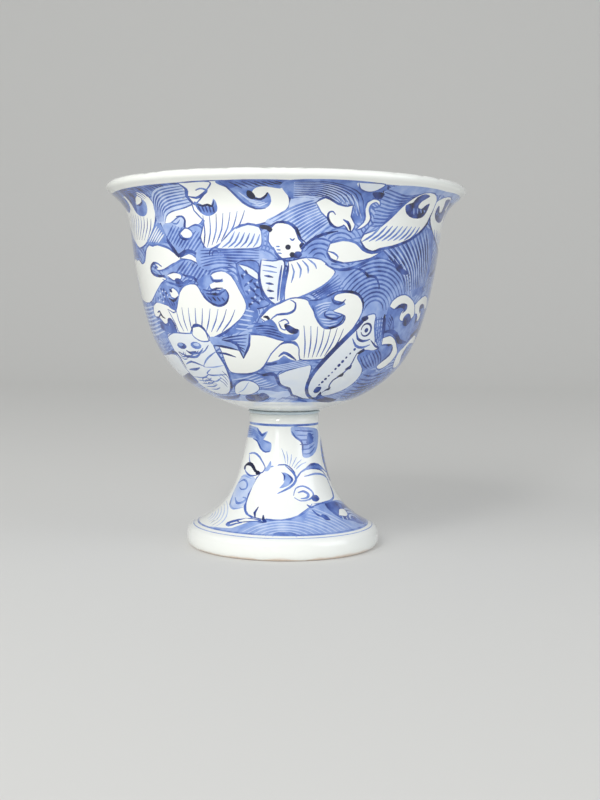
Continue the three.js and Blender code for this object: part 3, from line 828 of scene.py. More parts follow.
def low_breaker(b):
    b.fill([(-4.6, 31.4), (-2.8, 33.3), (-0.5, 34.4), (1.4, 35.3), (3.4, 35.4), (5, 34.9), (6, 33.4),
            (6.8, 31.4), (8.2, 29.9), (10, 29.4), (12.4, 30.4), (12.8, 32), (10, 33), (12.6, 34.4),
            (10.2, 35), (10.2, 36), (11.4, 36.5), (13.2, 36.6), (15.2, 36.1), (16.5, 34.6), (16.7, 32.6),
            (15.5, 30), (13.8, 27.3), (12, 24.8), (10, 23), (6.5, 22.6), (3.9, 22.8), (3.6, 25),
            (2.6, 26.6), (0.6, 26.8), (-2, 29.4)], WHITE)
    b.fill([(4.8, 35), (7, 35.2), (9, 36), (10.8, 36.8), (9.8, 35.5), (10.3, 34.6), (12.4, 34.7),
            (11.4, 33.6), (9.3, 33), (8.6, 32.3), (10, 31.7), (12.6, 32.2), (12.4, 30.9), (11, 29.7),
            (9, 29.4), (7.3, 30.5), (6.3, 32.4)], MID)
    b.comb([(6.4, 33.8), (8, 34.4), (9.6, 34.6)], [(7.2, 32), (8, 32.8), (9, 33.2)], 4, 0.26, PALE)
    b.stroke([(6.6, 32.4), (7.4, 30.6), (9, 29.5), (11, 29.8), (12.4, 31), (12.6, 32.2)], 0.42, DARK)
    b.stroke([(5.2, 34.9), (7.4, 35.2), (9.2, 36), (10.6, 36.7)], 0.36, DARK)
    b.comb([(7.4, 31.4), (9.4, 31.2), (11.6, 31.5)], [(8.4, 30.2), (9.8, 30), (11.2, 30.4)], 3, 0.24, PALE)
    b.stroke([(9.6, 35.6), (10, 34.7), (11.2, 34.3), (12.2, 34.8), (12.6, 35.3)], 0.42, DARK)
    b.stroke([(8.5, 32.9), (8.5, 32), (9.6, 31.5), (11, 31.4), (12.4, 32.2)], 0.42, DARK)
    b.stroke([(9.4, 36.2), (11, 36.8), (13.4, 36.8), (15.4, 36.2), (16.7, 34.6), (16.8, 32.6)], 0.42, DARK)
    b.stroke([(5.8, 34), (6.6, 31.8), (8, 30), (9.8, 29.4)], 0.36, DEEP)
    b.comb([(4.3, 30), (4.8, 26.4), (4.9, 23)], [(13, 29.4), (12.2, 26.6), (10.6, 23.6)], 7, 0.3, DEEP,
           (0.7, 0.3))
    b.stroke([(-2.6, 31), (-1.2, 32.1), (0.8, 32.3), (2.2, 33), (2.4, 34.4), (1.4, 35)], 0.42, DEEP)
    b.stroke([(-4.6, 31.6), (-2.8, 33.4), (-0.5, 34.5), (1.4, 35.3)], 0.34, DEEP)
    b.stroke([(-4, 31.6), (-3.2, 31.6), (-2.7, 30.8)], 0.55, INK)
    b.fill([(-6.4, 28.4), (-6, 30), (-4.4, 30.4), (-2.6, 31.2), (-1.4, 30.2), (-0.8, 28.9), (0.8, 28.2),
            (2.6, 28.3), (3.3, 29.2), (3.4, 28), (2.4, 26.9), (0.4, 26.8), (-2, 27.6), (-4, 28.1)], MID)
    b.comb([(-6, 29.6), (-3.6, 29.9), (-1.6, 29.6)], [(-5, 28.4), (-2.6, 28.2), (0.2, 27.4)], 4, 0.3, DARK)
    b.fill([(-0.9, 30.6), (-0.4, 29.4), (0.6, 29.1), (0.4, 30.2), (1.2, 30.4), (0.4, 31.2)], WHITE)
    b.fill([(0.2, 30), (1.2, 30.1), (2.5, 29.4), (3.2, 29.2), (3, 28.4), (1.8, 28.3), (0.8, 28.9)], INK)


print("breakers in the middle: 3 figures")

# %% [markdown]
# Round the bottom of the bowl come the clawed beast, rocks, petals and a fish. The fish's spots run
# down its back in a bent row, so a loop places them; all else is drawn one by one.

# %% Figures round the foot of the bowl
def clawed_beast(b):
    b.fill([(-15.4, 26.8), (-14.6, 24.2), (-14.4, 21), (-13.8, 19.1), (-11, 18.8), (-8, 19.1), (-5.6, 20.1),
             (-4, 21.8), (-2.6, 24), (-0.6, 26), (0.4, 26.9), (-2.4, 27.8), (-5, 28.2), (-7.2, 28.2),
            (-10, 27.6)], WHITE)
    b.fill([(-16.4, 27.4), (-12, 27.2), (-7.2, 28.4), (-7.3, 26), (-8.4, 24), (-9.4, 22.7), (-10, 24.4),
            (-13, 25), (-16.4, 25.6)], WASH)
    b.comb([(-13.6, 27), (-10.4, 27.6), (-7.6, 28)], [(-10.2, 25.6), (-9.4, 24.6), (-8.8, 24)], 6, 0.3,
           DARK)
    b.stroke([(-7.2, 28.2), (-7.5, 25.8), (-8.7, 23.8), (-9.4, 22.7)], 0.5, DARK)
    b.stroke([(-13.8, 26.8), (-10.6, 26.2), (-9.9, 24.6), (-9.4, 22.8)], 0.5, DARK)
    b.stroke([(-16.2, 25.6), (-13, 25.2), (-10.2, 24.6)], 0.46, DARK)
    b.stroke([(-16.2, 24), (-13.5, 23.7), (-11.2, 23)], 0.46, DARK)
    b.stroke([(-7, 28), (-4, 28), (-1, 27.2), (1.6, 26.6), (3.4, 25.6)], 0.5, DEEP)
    b.stroke([(-15.8, 24.2), (-14.9, 21.6), (-14.6, 19), (-15, 17)], 0.45, DEEP)
    b.stroke([(-14.4, 19), (-11, 18.7), (-8, 19), (-5.5, 20), (-4, 21.8), (-2.7, 24)], 0.42, DEEP)


def little_crest(b):
    b.fill([(-4.4, 21.9), (-2.7, 24.2), (-1, 25.9), (1, 26.5), (2.9, 26.1), (3.9, 24.6), (4, 22.6),
            (2.5, 22.2), (0, 21.8)], WHITE)
    b.stroke([(-4.5, 21.8), (-2.8, 24.2), (-1, 25.9), (1, 26.5), (2.9, 26.1), (3.9, 24.5), (4, 22.6)], 0.4,
             DEEP)
    b.fill([(-6.6, 19.4), (-3, 19.5), (0, 19.9), (4, 20.7), (7, 21.5), (9.8, 23.5), (6.8, 23.1), (3, 22.4),
            (1.2, 23), (0.2, 23.6), (-1, 22.6), (-3.4, 21.8), (-5.4, 20.6)], MID)
    b.comb([(-5, 20.6), (0, 21.4), (6, 22.8)], [(-4.4, 19.6), (0.4, 20.2), (6.4, 21.6)], 4, 0.24, PALE)
    b.stroke([(-1, 23.3), (0.2, 24.2), (1.6, 23.6), (3.1, 22.5)], 0.6, DARK)
    b.stroke([(-4.4, 21.4), (-3, 21.5), (-1.4, 21.8)], 0.6, DARK)
    b.stroke([(4, 22.6), (6.4, 22.6), (8, 23.3), (10, 23.4)], 0.55, DARK)


def rocks(b):
    b.fill([(-16, 18.9), (-11, 18.6), (-7, 19.1), (-4, 19.5), (-1.6, 18.8), (-1.2, 16.4), (-0.2, 15),
            (0.8, 14.2), (-1, 13), (-4, 13.2), (-6.6, 14), (-7.4, 15.6), (-8.4, 16.6), (-10.6, 16.9),
            (-13, 16.4), (-16, 15)], MID)
    b.comb([(-14.8, 16.8), (-10.6, 17.6), (-7, 18.8)], [(-6.6, 14.4), (-4, 14.8), (-1.8, 15.6)], 7, 0.28,
           PALE)
    b.fill([(-17, 12.4), (-15.4, 14.6), (-13.4, 16), (-11, 16.9), (-8.6, 16.5), (-7.3, 15.2), (-7.7, 13.6),
            (-10, 12.2), (-13, 11.4), (-17, 11.4)], MIST)
    b.stroke([(-16.6, 14.2), (-13.6, 16.2), (-11, 17), (-8.4, 16.6), (-7.2, 15)], 0.5, DEEP)
    b.stroke([(-16, 12.2), (-13, 13.5), (-11, 15.2), (-9.9, 16.3)], 0.26, WASH)
    b.fill([(-1.2, 18.7), (0.6, 19.7), (3, 20.5), (6.6, 21.4), (7, 19), (6.8, 15), (8, 12), (10, 10),
            (6, 10.4), (3.4, 11.8), (2.2, 14), (0.6, 15.1), (-0.8, 16)], MIST)
    b.stroke([(-7.4, 19.2), (-5, 18.6), (-3.4, 18.9), (-2, 18.6), (-1.5, 17), (-0.8, 15.6), (0.6, 14.8),
              (1.8, 14.4), (2.4, 13), (3, 11.8), (5, 11), (8, 9.8)], 0.8, DARK, (0.2, 0.2))
    b.fill([(-8, 13.4), (-5, 13.6), (-1.4, 13), (1.4, 13.6), (2.4, 11.6), (0, 10.4), (-4, 10.4),
            (-8, 11.6)], PALE)
    b.fill([(-15, 8.2), (-9.6, 8.2), (-6, 9.8), (-5, 11.2), (-6.6, 12.6), (-9, 11.8), (-14, 11)], DARK)
    b.stroke([(-0.6, 10.4), (3, 10.1), (6, 9.4), (10, 8.4)], 1.1, DEEP)


def petals(b):
    b.fill([(-31, 27), (-28, 28), (-22, 28), (-18, 28.7), (-16.6, 27), (-16, 24), (-15, 21), (-15.2, 18),
            (-16.5, 15), (-19, 12.5), (-24, 11), (-30, 12.4), (-31, 18), (-30.6, 23)], MIST)
    b.fill([(-20.8, 29.2), (-18.6, 29.6), (-17.2, 28.2), (-17, 26.6), (-19.4, 26.4), (-21.4, 27.6)], WHITE)
    b.stroke([(-21.6, 28.4), (-20.4, 29.7), (-18.6, 29.6), (-17.4, 28.4), (-17.2, 26.7)], 0.5, DARK)
    b.dot(-26.4, 25.2, 1.8, DEEP, 0.42)
    b.dot(-26.6, 25.5, 0.9, WASH, 0.4)
    b.dot(-21.4, 25.4, 1.7, MID, 0.5)
    b.dot(-21.2, 25.6, 0.9, PALE, 0.4)
    b.stroke([(-28.8, 23.7), (-26, 22.8), (-22.6, 22.8), (-19.8, 24.4)], 0.5, DEEP)
    b.stroke([(-25.4, 24.2), (-24.2, 23.6), (-22, 24)], 0.6, DARK)
    b.stroke([(-28.6, 20.7), (-25.6, 21.5), (-23, 20.9), (-21.4, 20.3)], 0.45, DEEP)
    b.stroke([(-22, 20.3), (-20, 22), (-18, 23.2), (-16, 24.2)], 0.36, MID)
    b.stroke([(-21.8, 20.2), (-18.6, 20.3), (-15.2, 20.9)], 0.3, WASH)
    b.stroke([(-28.8, 19.3), (-25.6, 19.5), (-23.6, 20)], 0.6, DEEP)
    b.stroke([(-20, 19.7), (-22.2, 18.5), (-20.8, 18), (-15.6, 18.4)], 0.4, MID)
    b.comb([(-29.6, 17.2), (-25, 17.1), (-21.8, 18.2)], [(-27.4, 13), (-24, 13.2), (-21.6, 14)], 5, 0.36,
           MID)
    b.stroke([(-24, 16.5), (-21, 16.1), (-18, 17.4)], 0.36, MID)
    b.comb([(-29.4, 22.6), (-28, 22), (-26.4, 22.2)], [(-20.6, 23.6), (-19, 24.4), (-17.6, 25.6)], 6, 0.26,
           DEEP)
    b.comb([(-19.6, 17), (-18.4, 15.6), (-18.4, 14.2)], [(-16.6, 19.4), (-15.8, 18.4), (-15.6, 17)], 4,
           0.26, DEEP)
    b.arcs((-24.4, 14.4), (1.2, 2, 2.8), 10, 170, 0.3, DEEP)
    b.arcs((-27.6, 24), (0.8, 1.4), 190, 350, 0.28, DEEP)
    b.stroke([(-15.8, 24.2), (-14.9, 21.2), (-14.9, 17.8), (-16.4, 14.8), (-18.6, 12.8), (-22, 11)], 0.55,
             DARK)
    b.fill([(-47, 22.4), (-38, 22.8), (-31, 23), (-30.4, 20), (-31, 17.4), (-38, 16.4), (-47, 15.4)], MIST)
    b.fill([(-42, 16), (-34, 17.6), (-30.4, 18.2), (-30, 15.6), (-34, 14.6), (-42, 14.2)], DARK)
    b.stroke([(-36.6, 23), (-33, 23.5), (-30.6, 23.6), (-29.6, 22.4), (-29.8, 19.6)], 0.6, DARK)
    b.comb([(-44, 25.8), (-37, 25.2), (-32, 25.8)], [(-44, 24), (-37, 23.8), (-31.6, 24.4)], 3, 0.36, MID)
    b.stroke([(-34, 9.2), (-28, 9.2), (-22, 9.6), (-18, 10.4), (-15.8, 11.6)], 1.2, DARK)


FISH_SPOTS = 11
SPOTS_START = (16.9, 25)
SPOTS_RUN = (6.2, 9.3)
SPOTS_BEND = 0.86
SPOT_RADIUS = 0.34
SPOT_CHANGE = 0.1


def fish(b):
    b.fill([(7.6, 17), (8.6, 20.4), (10.6, 23.4), (13, 26.4), (15.6, 29.2), (17.6, 31.8), (20.2, 32.4),
            (20.6, 30), (22, 27), (24.2, 25), (22, 24.6), (19.6, 24.8), (18.4, 23.4), (19.4, 22.2),
            (21.6, 20.4), (22.5, 18.4), (22, 15.6), (20, 13.2), (16, 11.4), (13, 11.2), (11, 10.4),
            (8.8, 12), (7.4, 14.4)], MIST)
    b.stroke([(18.2, 31.9), (14, 27.6), (10.6, 23.6), (8, 19.6), (7.1, 16.4), (7.4, 13.8), (8.8, 11.6),
              (11, 10.2), (14, 9.4)], 0.95, DARK, (0.1, 0.15))
    b.fill([(16.8, 31.6), (18, 32.1), (18.6, 31.5), (17.6, 30.9)], INK)
    b.arcs((18.6, 29.2), (1.3,), -160, 185, 0.42, DARK)
    b.dot(18.7, 29.1, 0.5, DARK)
    b.stroke([(16.2, 29), (16.9, 27.4), (18.6, 26.8), (20.4, 27.2)], 0.5, DARK)
    b.stroke([(15.6, 27.4), (16.9, 25.8), (18.8, 25.4), (20.8, 26)], 0.5, DEEP)
    b.comb([(20.7, 31.8), (21.3, 29), (22.2, 26.2)], [(22.6, 32), (23.2, 29.2), (23.8, 26)], 4, 0.36, DEEP)
    b.stroke([(20.6, 27), (22.4, 25.8), (24, 25.1), (21.6, 24.4)], 0.42, DARK)
    b.stroke([(22.8, 32.4), (23.6, 29.4), (24.2, 27.4)], 0.8, DARK)
    for i in range(FISH_SPOTS):
        t = i / (FISH_SPOTS - 1)
        x = SPOTS_START[0] - SPOTS_RUN[0] * t ** SPOTS_BEND
        b.dot(x, SPOTS_START[1] - SPOTS_RUN[1] * t, SPOT_RADIUS + SPOT_CHANGE * math.sin(5 * i), DARK)
    b.fill([(10.2, 15), (11.8, 14.8), (11.8, 13), (10.8, 12.6), (9.8, 13.4)], DARK)
    b.stroke([(19.4, 25.2), (17.9, 24), (17.6, 22.4), (17.2, 20.6), (16.4, 19.4), (15.4, 18.2),
              (14.2, 17.1), (14, 15.4), (14.6, 14.2), (13.3, 13.2), (12.8, 11.4)], 0.42, DARK)
    for x, v in ((17.1, 20.7), (15.8, 18.7), (14.3, 14.2), (19, 24.5)):
        b.fill([(x - 0.9, v - 0.5), (x + 0.5, v + 0.7), (x + 0.7, v - 0.4)], INK)
    b.fill([(12.4, 13.2), (13.6, 11.8), (16, 10.8), (20, 10), (24, 9), (22, 7.6), (16, 8.2), (12.4, 10)],
           DARK)
    b.fill([(18.6, 23.3), (20, 24.6), (23, 24.8), (26, 25.2), (28.6, 25.9), (28.8, 24), (27, 22),
            (26, 20.4), (23, 19.8), (21, 20.8)], MID)
    b.comb([(19.2, 23.2), (21.4, 21.2), (23.6, 20.2)], [(24, 24.8), (26, 23.4), (27.2, 21.6)], 7, 0.3,
           DARK)


def right_crests(b):
    b.fill([(23.4, 33.8), (25, 35.6), (28, 36.4), (31, 35.6), (34, 33.2), (36, 30), (35, 26), (30, 20),
            (26.6, 20.6), (24, 25)], MID)
    b.comb([(24.4, 32.4), (26, 31), (27, 28.8)], [(24.4, 30.4), (25.2, 29.8), (25.8, 28.8)], 4, 0.26, DARK)
    b.fill([(23.8, 34), (25.4, 33.4), (26.6, 34.2), (28.4, 34.6), (29.2, 33.8), (28, 32.8), (28, 31.4),
            (29.6, 31), (31, 32.2), (32.6, 31.4), (34, 32.4), (32.8, 34.6), (30.6, 35.8), (28, 36.5),
            (25.6, 36), (24.2, 35)], WHITE)
    b.fill([(25.6, 33.4), (27.6, 34.6), (29.6, 34.5), (29.8, 33.4), (28.4, 32.6), (28.8, 33.4),
            (27.4, 33.8)], DARK)
    b.fill([(29.4, 31.6), (30.6, 32.6), (32, 32.4), (33, 31.2), (31.8, 30), (30, 30.2)], DARK)
    b.stroke([(23.6, 28.6), (26, 28.9), (28.6, 28.1), (31, 26.6), (35, 26.4)], 1.0, DARK)
    b.fill([(24.2, 27.4), (26.4, 28), (28.8, 27.1), (31, 25.4), (32.6, 24), (32, 21.8), (30, 20.2),
            (28, 20), (26.6, 20.8), (28, 22.2), (29.5, 23.4), (29.2, 25), (27, 25.8), (24.6, 25.9)], WHITE)
    b.stroke([(27.4, 22), (28.8, 23.2), (29.4, 24.6), (28, 25.8), (25, 26)], 0.5, DARK)
    b.fill([(23, 19.6), (26, 19.8), (30, 19), (35, 20), (37, 16), (34, 10), (26, 9), (22.4, 12), (23, 16)],
           MID)
    b.comb([(23.4, 18.6), (28, 18), (33, 19)], [(23, 11), (28, 10.6), (34, 12)], 7, 0.5, DARK)


FIGURES = (left_low_breaker, left_wave, left_breaker, left_edge, stream, middle_breaker, small_hook,
           right_sea, foam, fan_sea, right_breaker, creature, creature_body, dark_hooks, broad_breaker,
           rocks, petals, little_crest, clawed_beast, low_breaker, right_crests, fish)
print("figures on the front, in the order they are painted:", len(FIGURES))

# %% [markdown]
# Under the lip the sea ends in a darker band of short hooked strokes. Their spacing and reach vary
# a little, as a quick hand's do, and a seed of their own keeps them the same each run.

# %% The combed band under the lip
LIP_BAND_LOW = 56.8
LIP_SEED = 5
HATCH_GAPS = (0.55, 0.95)
HATCH_REACHES = (1.5, 3)
HATCH_TOP, HATCH_BEND, HATCH_END = 58.15, 57.5, 57.9


def lip_band(b):
    b.band(LIP_BAND_LOW, PAINT_HIGH, MID)
    dice = random.Random(LIP_SEED)
    x = -b.form.width / 2
    while x < b.form.width / 2:
        x += dice.uniform(*HATCH_GAPS)
        reach = dice.uniform(*HATCH_REACHES)
        hatch = [(x, HATCH_TOP), (x + 0.5 * reach, HATCH_BEND), (x + reach, HATCH_END - reach)]
        b.at().stroke(hatch, 0.3, dice.choice((DEEP, DARK)))


print("band under the lip:", round(PAINT_HIGH - LIP_BAND_LOW, 1), "mm high")

# %% [markdown]
# Ground first, figures over it. The back carries the front's figures mirrored, and a few of them
# once more in the gap that is left, each moved round the bowl by a distance in millimetres. The
# front is painted last, so that nothing from the back covers its edges.

# %% The bowl's painting, front and back
MIRRORED_PLACE = (66.0, 0)
GAP_PLACE = (114.0, 0)
GAP_FIGURES = (left_breaker, stream, middle_breaker, broad_breaker, low_breaker, rocks, foam, right_breaker)


def paint_bowl():
    brush = Brush(bowl_form)
    sea_ground(brush)
    lip_band(brush)
    for figure in GAP_FIGURES:
        figure(brush.at(GAP_PLACE))
    for figure in FIGURES:
        figure(brush.at(MIRRORED_PLACE, -1))
    for figure in FIGURES:
        figure(brush.at())
    return brush


bowl_painting = paint_bowl()
print("touches on the bowl:", len(bowl_painting.touches))

# %% [markdown]
# The stem carries one leaping beast over a combed sea, under clouds, a ring line and a plain
# collar. It is drawn like the bowl, on its own rolled-out plane, and its back is the front mirrored.

# %% The stem's painting
def stem_sea(b):
    b.fill([(-8.6, 1.8), (-6.4, 3), (-4.6, 5.4), (-2, 6.2), (1, 6.3), (3, 7.6), (5, 9.2), (8, 9.9),
            (12, 9.9), (16, 8), (17, 1.8)], WASH)
    b.arcs((0.3, 0.8), [1.4 + 0.75 * i for i in range(6)], 12, 165, 0.3, PALE)
    b.arcs((0.3, 0.8), [5.8 + 0.75 * i for i in range(6)], 10, 62, 0.3, PALE)
    b.fill([(-0.9, 1.95), (-0.4, 2.8), (1, 2.8), (1.6, 1.95)], MID)
    b.fill([(8, 9.6), (11, 9.8), (14, 8.4), (17, 7), (17, 2), (12.6, 2.2), (11.4, 4), (9.4, 5.6)], DEEP)
    b.arcs((12.6, 4.4), (1.1, 2, 2.9), -20, 170, 0.4, PALE)
    b.fill([(9.6, 6.4), (10.8, 7.8), (12.6, 7.4), (12.2, 6), (11, 5.6)], WHITE)
    b.fill([(12.6, 17.6), (12.2, 20), (13.2, 23), (16, 24), (17, 20), (16, 15), (14, 14)], MID)
    b.comb([(12.8, 22), (14.4, 21.4), (16.4, 22)], [(13, 15.4), (14.6, 15.8), (16.4, 15)], 6, 0.4, DARK)
    b.arcs((-14, 4), [1.2 + 0.8 * i for i in range(6)], -20, 80, 0.24, PALE)


def stem_clouds(b):
    b.fill([(-15, 26.1), (-9, 26.2), (-7.6, 25.8), (-6.8, 24.9), (-5.8, 25.1), (-4.5, 25.5), (-5, 24.4),
            (-5.5, 23.6), (-4, 23.2), (-3.1, 22.8), (-3.3, 21.3), (-4.6, 21.1), (-6.2, 22), (-7.6, 23.4),
            (-9.6, 23.8), (-15, 23.8)], WASH)
    b.stroke([(-8.4, 26), (-6.9, 25), (-6, 24.6), (-5, 25.2)], 0.55, DEEP)
    b.stroke([(-9.6, 23.7), (-7.6, 23.3), (-6.2, 21.9), (-4.6, 21.1), (-3.3, 21.4)], 0.4, DEEP)
    b.stroke([(-5.6, 23.6), (-4.2, 23.2), (-3.2, 23)], 0.4, MID)
    b.comb([(-14, 25.6), (-10, 25.6), (-7.4, 24.8)], [(-13, 24.2), (-9, 24.4), (-6.4, 23)], 4, 0.28, MID)
    b.fill([(2.2, 26.5), (5, 26.5), (9, 26.2), (12.4, 25.4), (11.4, 23), (9.4, 21), (7, 20), (5, 20.2),
            (4.9, 22.4), (4.7, 23.4), (3.4, 24.2), (2.3, 24.9)], WASH)
    b.comb([(3.2, 25.8), (6, 25.6), (9.6, 25.4)], [(5.2, 20.8), (7.2, 20.8), (9.4, 22)], 6, 0.28, DEEP)
    b.stroke([(2.3, 25.6), (3.2, 24.4), (4.7, 23.6), (5.2, 22.4), (5, 20.4)], 0.45, DEEP)
    b.fill([(7, 25), (8.4, 25), (9.2, 23.8), (8, 22.8), (6.4, 23), (6.8, 24)], DEEP)
    b.comb([(0.6, 18.9), (0.3, 20.4), (-0.4, 22)], [(3, 17.6), (4.4, 18.6), (5.8, 19)], 6, 0.24, WASH,
           (0.1, 0.7))
    b.stroke([(4.9, 17.2), (7, 18.4), (9.6, 18.2), (11.8, 17)], 0.5, DEEP)
    b.comb([(5.4, 17), (8, 17.8), (11, 17)], [(6.2, 15.9), (8.4, 16.4), (11, 15.6)], 3, 0.3, MID)


def leaping_beast(b):
    b.fill([(-6, 15.4), (-6.8, 13.4), (-7, 11), (-6.6, 9), (-5.4, 7.2), (-3, 6.3), (0, 6.3), (2.4, 7.3),
            (4.4, 9), (7.6, 10), (11.4, 10.6), (12.6, 13.6), (11, 16.6), (7, 17.6), (4.2, 17), (2.8, 15.4),
            (2.6, 17), (0.6, 18.6), (-2.4, 18.2), (-4.6, 17.4)], WHITE)
    b.stroke([(-5.9, 15.8), (-6.8, 13.6), (-7.1, 11), (-6.7, 9), (-5.6, 7.2), (-4.4, 6.4)], 0.5, DEEP)
    b.stroke([(-2.4, 6.5), (0, 6.2), (2.4, 7.2), (4.4, 8.9), (5.4, 10)], 0.4, MID)
    b.fill([(-12.2, 13.4), (-10.8, 15.7), (-8, 15.9), (-6.2, 15), (-7.2, 12), (-7, 9.4), (-8.6, 8),
            (-10.8, 8.6), (-12.2, 11)], PALE)
    b.stroke([(-11.6, 13.8), (-10, 14.7), (-8.4, 14.2), (-8.2, 13), (-9.6, 12.6), (-10.6, 13)], 0.42, MID)
    b.stroke([(-12, 11.6), (-10.8, 9), (-8.8, 8), (-7, 8.8)], 0.42, WASH)
    b.stroke([(-10.4, 10.6), (-9, 9.5), (-7.8, 9.8), (-7.2, 10.8), (-8.2, 11)], 0.5, MID)
    b.stroke([(-11.4, 15.2), (-9.6, 15.6), (-7.4, 15.2)], 0.34, WASH)
    b.fill([(-10, 20.3), (-8, 20.7), (-6, 19.8), (-4.3, 18), (-5, 16.7), (-7, 17.1), (-9, 18.4)], WHITE)
    b.stroke([(-10.2, 20.4), (-8, 20.7), (-6, 19.9), (-4.3, 18)], 0.4, MID)
    b.stroke([(-10, 20.2), (-9.2, 18.7), (-7, 17.2), (-5.4, 16.6)], 0.4, MID)
    b.fill([(-4.4, 17.2), (-3.6, 18.4), (-3, 19.3), (-2.8, 18.2), (-3.4, 17.2)], WASH)
    b.stroke([(-11.3, 17.4), (-9.8, 18.2), (-8.1, 18.1), (-6.8, 17), (-5.4, 16.4)], 0.75, INK)
    b.stroke([(-11, 17.2), (-10, 16.5), (-8, 15.8), (-6.2, 16.1)], 0.36, DEEP)
    b.dot(-10.8, 17.3, 0.5, INK)
    b.dot(-6, 16.6, 0.62, INK, 0.8)
    b.stroke([(0.5, 18.4), (2, 17.2), (2.9, 15.8), (2.2, 14.4), (0.6, 13.3), (-1.5, 12.2)], 0.45, MID)
    b.fill([(0, 16.9), (1.4, 16.5), (2.3, 15.4), (1.2, 14.2), (-0.7, 13.6), (0.3, 15)], WASH)
    b.stroke([(-0.3, 17), (0.4, 16.2), (0.2, 15.2)], 0.3, DEEP)
    b.stroke([(1, 16.6), (2, 15.6), (1.4, 14.6)], 0.34, DEEP)
    b.stroke([(-4.1, 9.3), (-4.4, 7.8), (-4, 6.5)], 0.42, DARK)
    b.stroke([(-2.9, 7.4), (-2.7, 6.3), (-2.3, 5.6), (-3.4, 5.5)], 0.42, DARK)
    b.stroke([(-4.6, 6.3), (-6.4, 5.5), (-7.6, 4.3), (-7.2, 3.5), (-6.4, 4.4), (-5.6, 4.9)], 0.6, DEEP)
    b.fill([(-5.4, 6.2), (-4, 6.2), (-3, 5.9), (-4.6, 5.4), (-6, 4.9), (-6.4, 5.4)], WHITE)
    b.stroke([(2.1, 12), (2.6, 13.5), (4.2, 14), (5.8, 13.1), (6.2, 11.9), (5, 11), (3.3, 10.8),
              (2.2, 11.6)], 0.36, MID)
    b.stroke([(3, 12.6), (4.1, 12.9), (5.1, 12.2), (4.6, 11.4), (3.4, 11.3)], 0.5, MID)
    b.fill([(5.9, 11.8), (7, 11.8), (7.3, 10.9), (6.4, 10.4), (5.6, 10.8)], DEEP)
    b.stroke([(2.9, 15.6), (4.2, 17), (7, 17.9), (10.5, 17.5), (13.4, 16)], 0.45, MID)
    b.stroke([(4.8, 16), (8, 16.4), (11, 15.8), (13, 14.4)], 0.4, MID)
    b.stroke([(12.4, 14), (12.8, 12.2), (11.6, 10.6), (9, 10), (5.6, 9.9)], 0.42, MID)
    b.stroke([(4.3, 9.9), (5, 9.2), (5.7, 9.5)], 0.42, DEEP)
    b.stroke([(5, 8.6), (5.7, 7.1), (6.9, 6)], 0.4, DEEP)
    b.fill([(6.2, 7.2), (7, 7), (7.3, 5.6), (6.4, 5.8)], DARK)


# From, to and tone of the rings under the collar and round the foot
STEM_RINGS = ((26.6, 27.1, MID), (1.5, 1.95, MID), (0.5, 0.75, WASH))


def paint_stem():
    brush = Brush(stem_form)
    for turn in (1, 0):
        place = (stem_form.width / 2 * turn, 0)
        mirror = 1 - 2 * turn
        for figure in (stem_sea, stem_clouds, leaping_beast):
            figure(brush.at(place, mirror))
    for ring in STEM_RINGS:
        brush.band(*ring)
    return brush


stem_painting = paint_stem()
print("touches on the stem:", len(stem_painting.touches))

# %% [markdown]
# The flat painting becomes a mesh by triangulating between the edges of all its touches. Each
# triangle then lies wholly inside or outside every touch, and takes the tone of the last touch
# that covers it. A regular grid of loose points keeps the surface round where nothing is painted.
# Edges that no longer part two tones are then left out, which thins the mesh by almost half.

# %% From touches to painted triangles
ROW_STEP = 1.6
SMALLEST_COVER = 8
SMALLEST_AREA = 1e-5
SHORTEST_START = 0.05
PROBE_DEPTH = 0.01
EDGE_MARGIN = 0.02
MERGE_DISTANCE = 1e-5


def inside(points, polygon):
    x, y = points[:, 0], points[:, 1]
    hit = np.zeros(len(points), bool)
    a, b = polygon, np.roll(polygon, -1, axis=0)
    for (ax, ay), (bx, by) in zip(a, b):
        if ay != by:
            cross = (ay > y) != (by > y)
            hit ^= cross & (x < (bx - ax) * (y - ay) / (by - ay) + ax)
    return hit


def drop_hidden(touches):
    """Leaves out the parts of lines that a later solid touch covers."""
    solids = [(i, polys[0]) for i, (polys, tone, solid) in enumerate(touches)
              if solid and len(polys[0]) > SMALLEST_COVER]
    kept = []
    for index, (polys, tone, solid) in enumerate(touches):
        if not solid:
            corners = np.concatenate(polys)
            low, high = corners.min(0), corners.max(0)
            covered = np.zeros(len(polys), bool)
            for later, cover in solids:
                if later > index and (cover.min(0) < high).all() and (cover.max(0) > low).all():
                    hit = inside(corners, cover).reshape(len(polys), 4)
                    covered |= hit.all(1)
            polys = [p for p, gone in zip(polys, covered) if not gone]
        if polys:
            kept.append((polys, tone, solid))
    return kept


def turned_left(polygon):
    """The polygon with its inside on the left; a quad that crosses itself gives its larger half."""
    if len(polygon) == 4:
        one = signed_area(polygon[[0, 1, 2]])
        two = signed_area(polygon[[0, 2, 3]])
        if one * two < 0:
            polygon = polygon[[0, 1, 2]] if abs(one) > abs(two) else polygon[[0, 2, 3]]
    area = signed_area(polygon)
    if abs(area) < SMALLEST_AREA:
        return None
    polygon = polygon if area > 0 else polygon[::-1]
    return polygon if len(polygon) < 5 else started_inside(polygon)


def started_inside(polygon):
    """The same loop, begun at an edge whose left side is surely inside, from where it is filled."""
    for first in range(len(polygon)):
        way = polygon[(first + 1) % len(polygon)] - polygon[first]
        size = np.linalg.norm(way)
        if size > SHORTEST_START:
            probe = polygon[first] + way / 2 + np.array([-way[1], way[0]]) / size * PROBE_DEPTH
            if inside(probe[None], polygon)[0]:
                return np.roll(polygon, -first, axis=0)
    return None


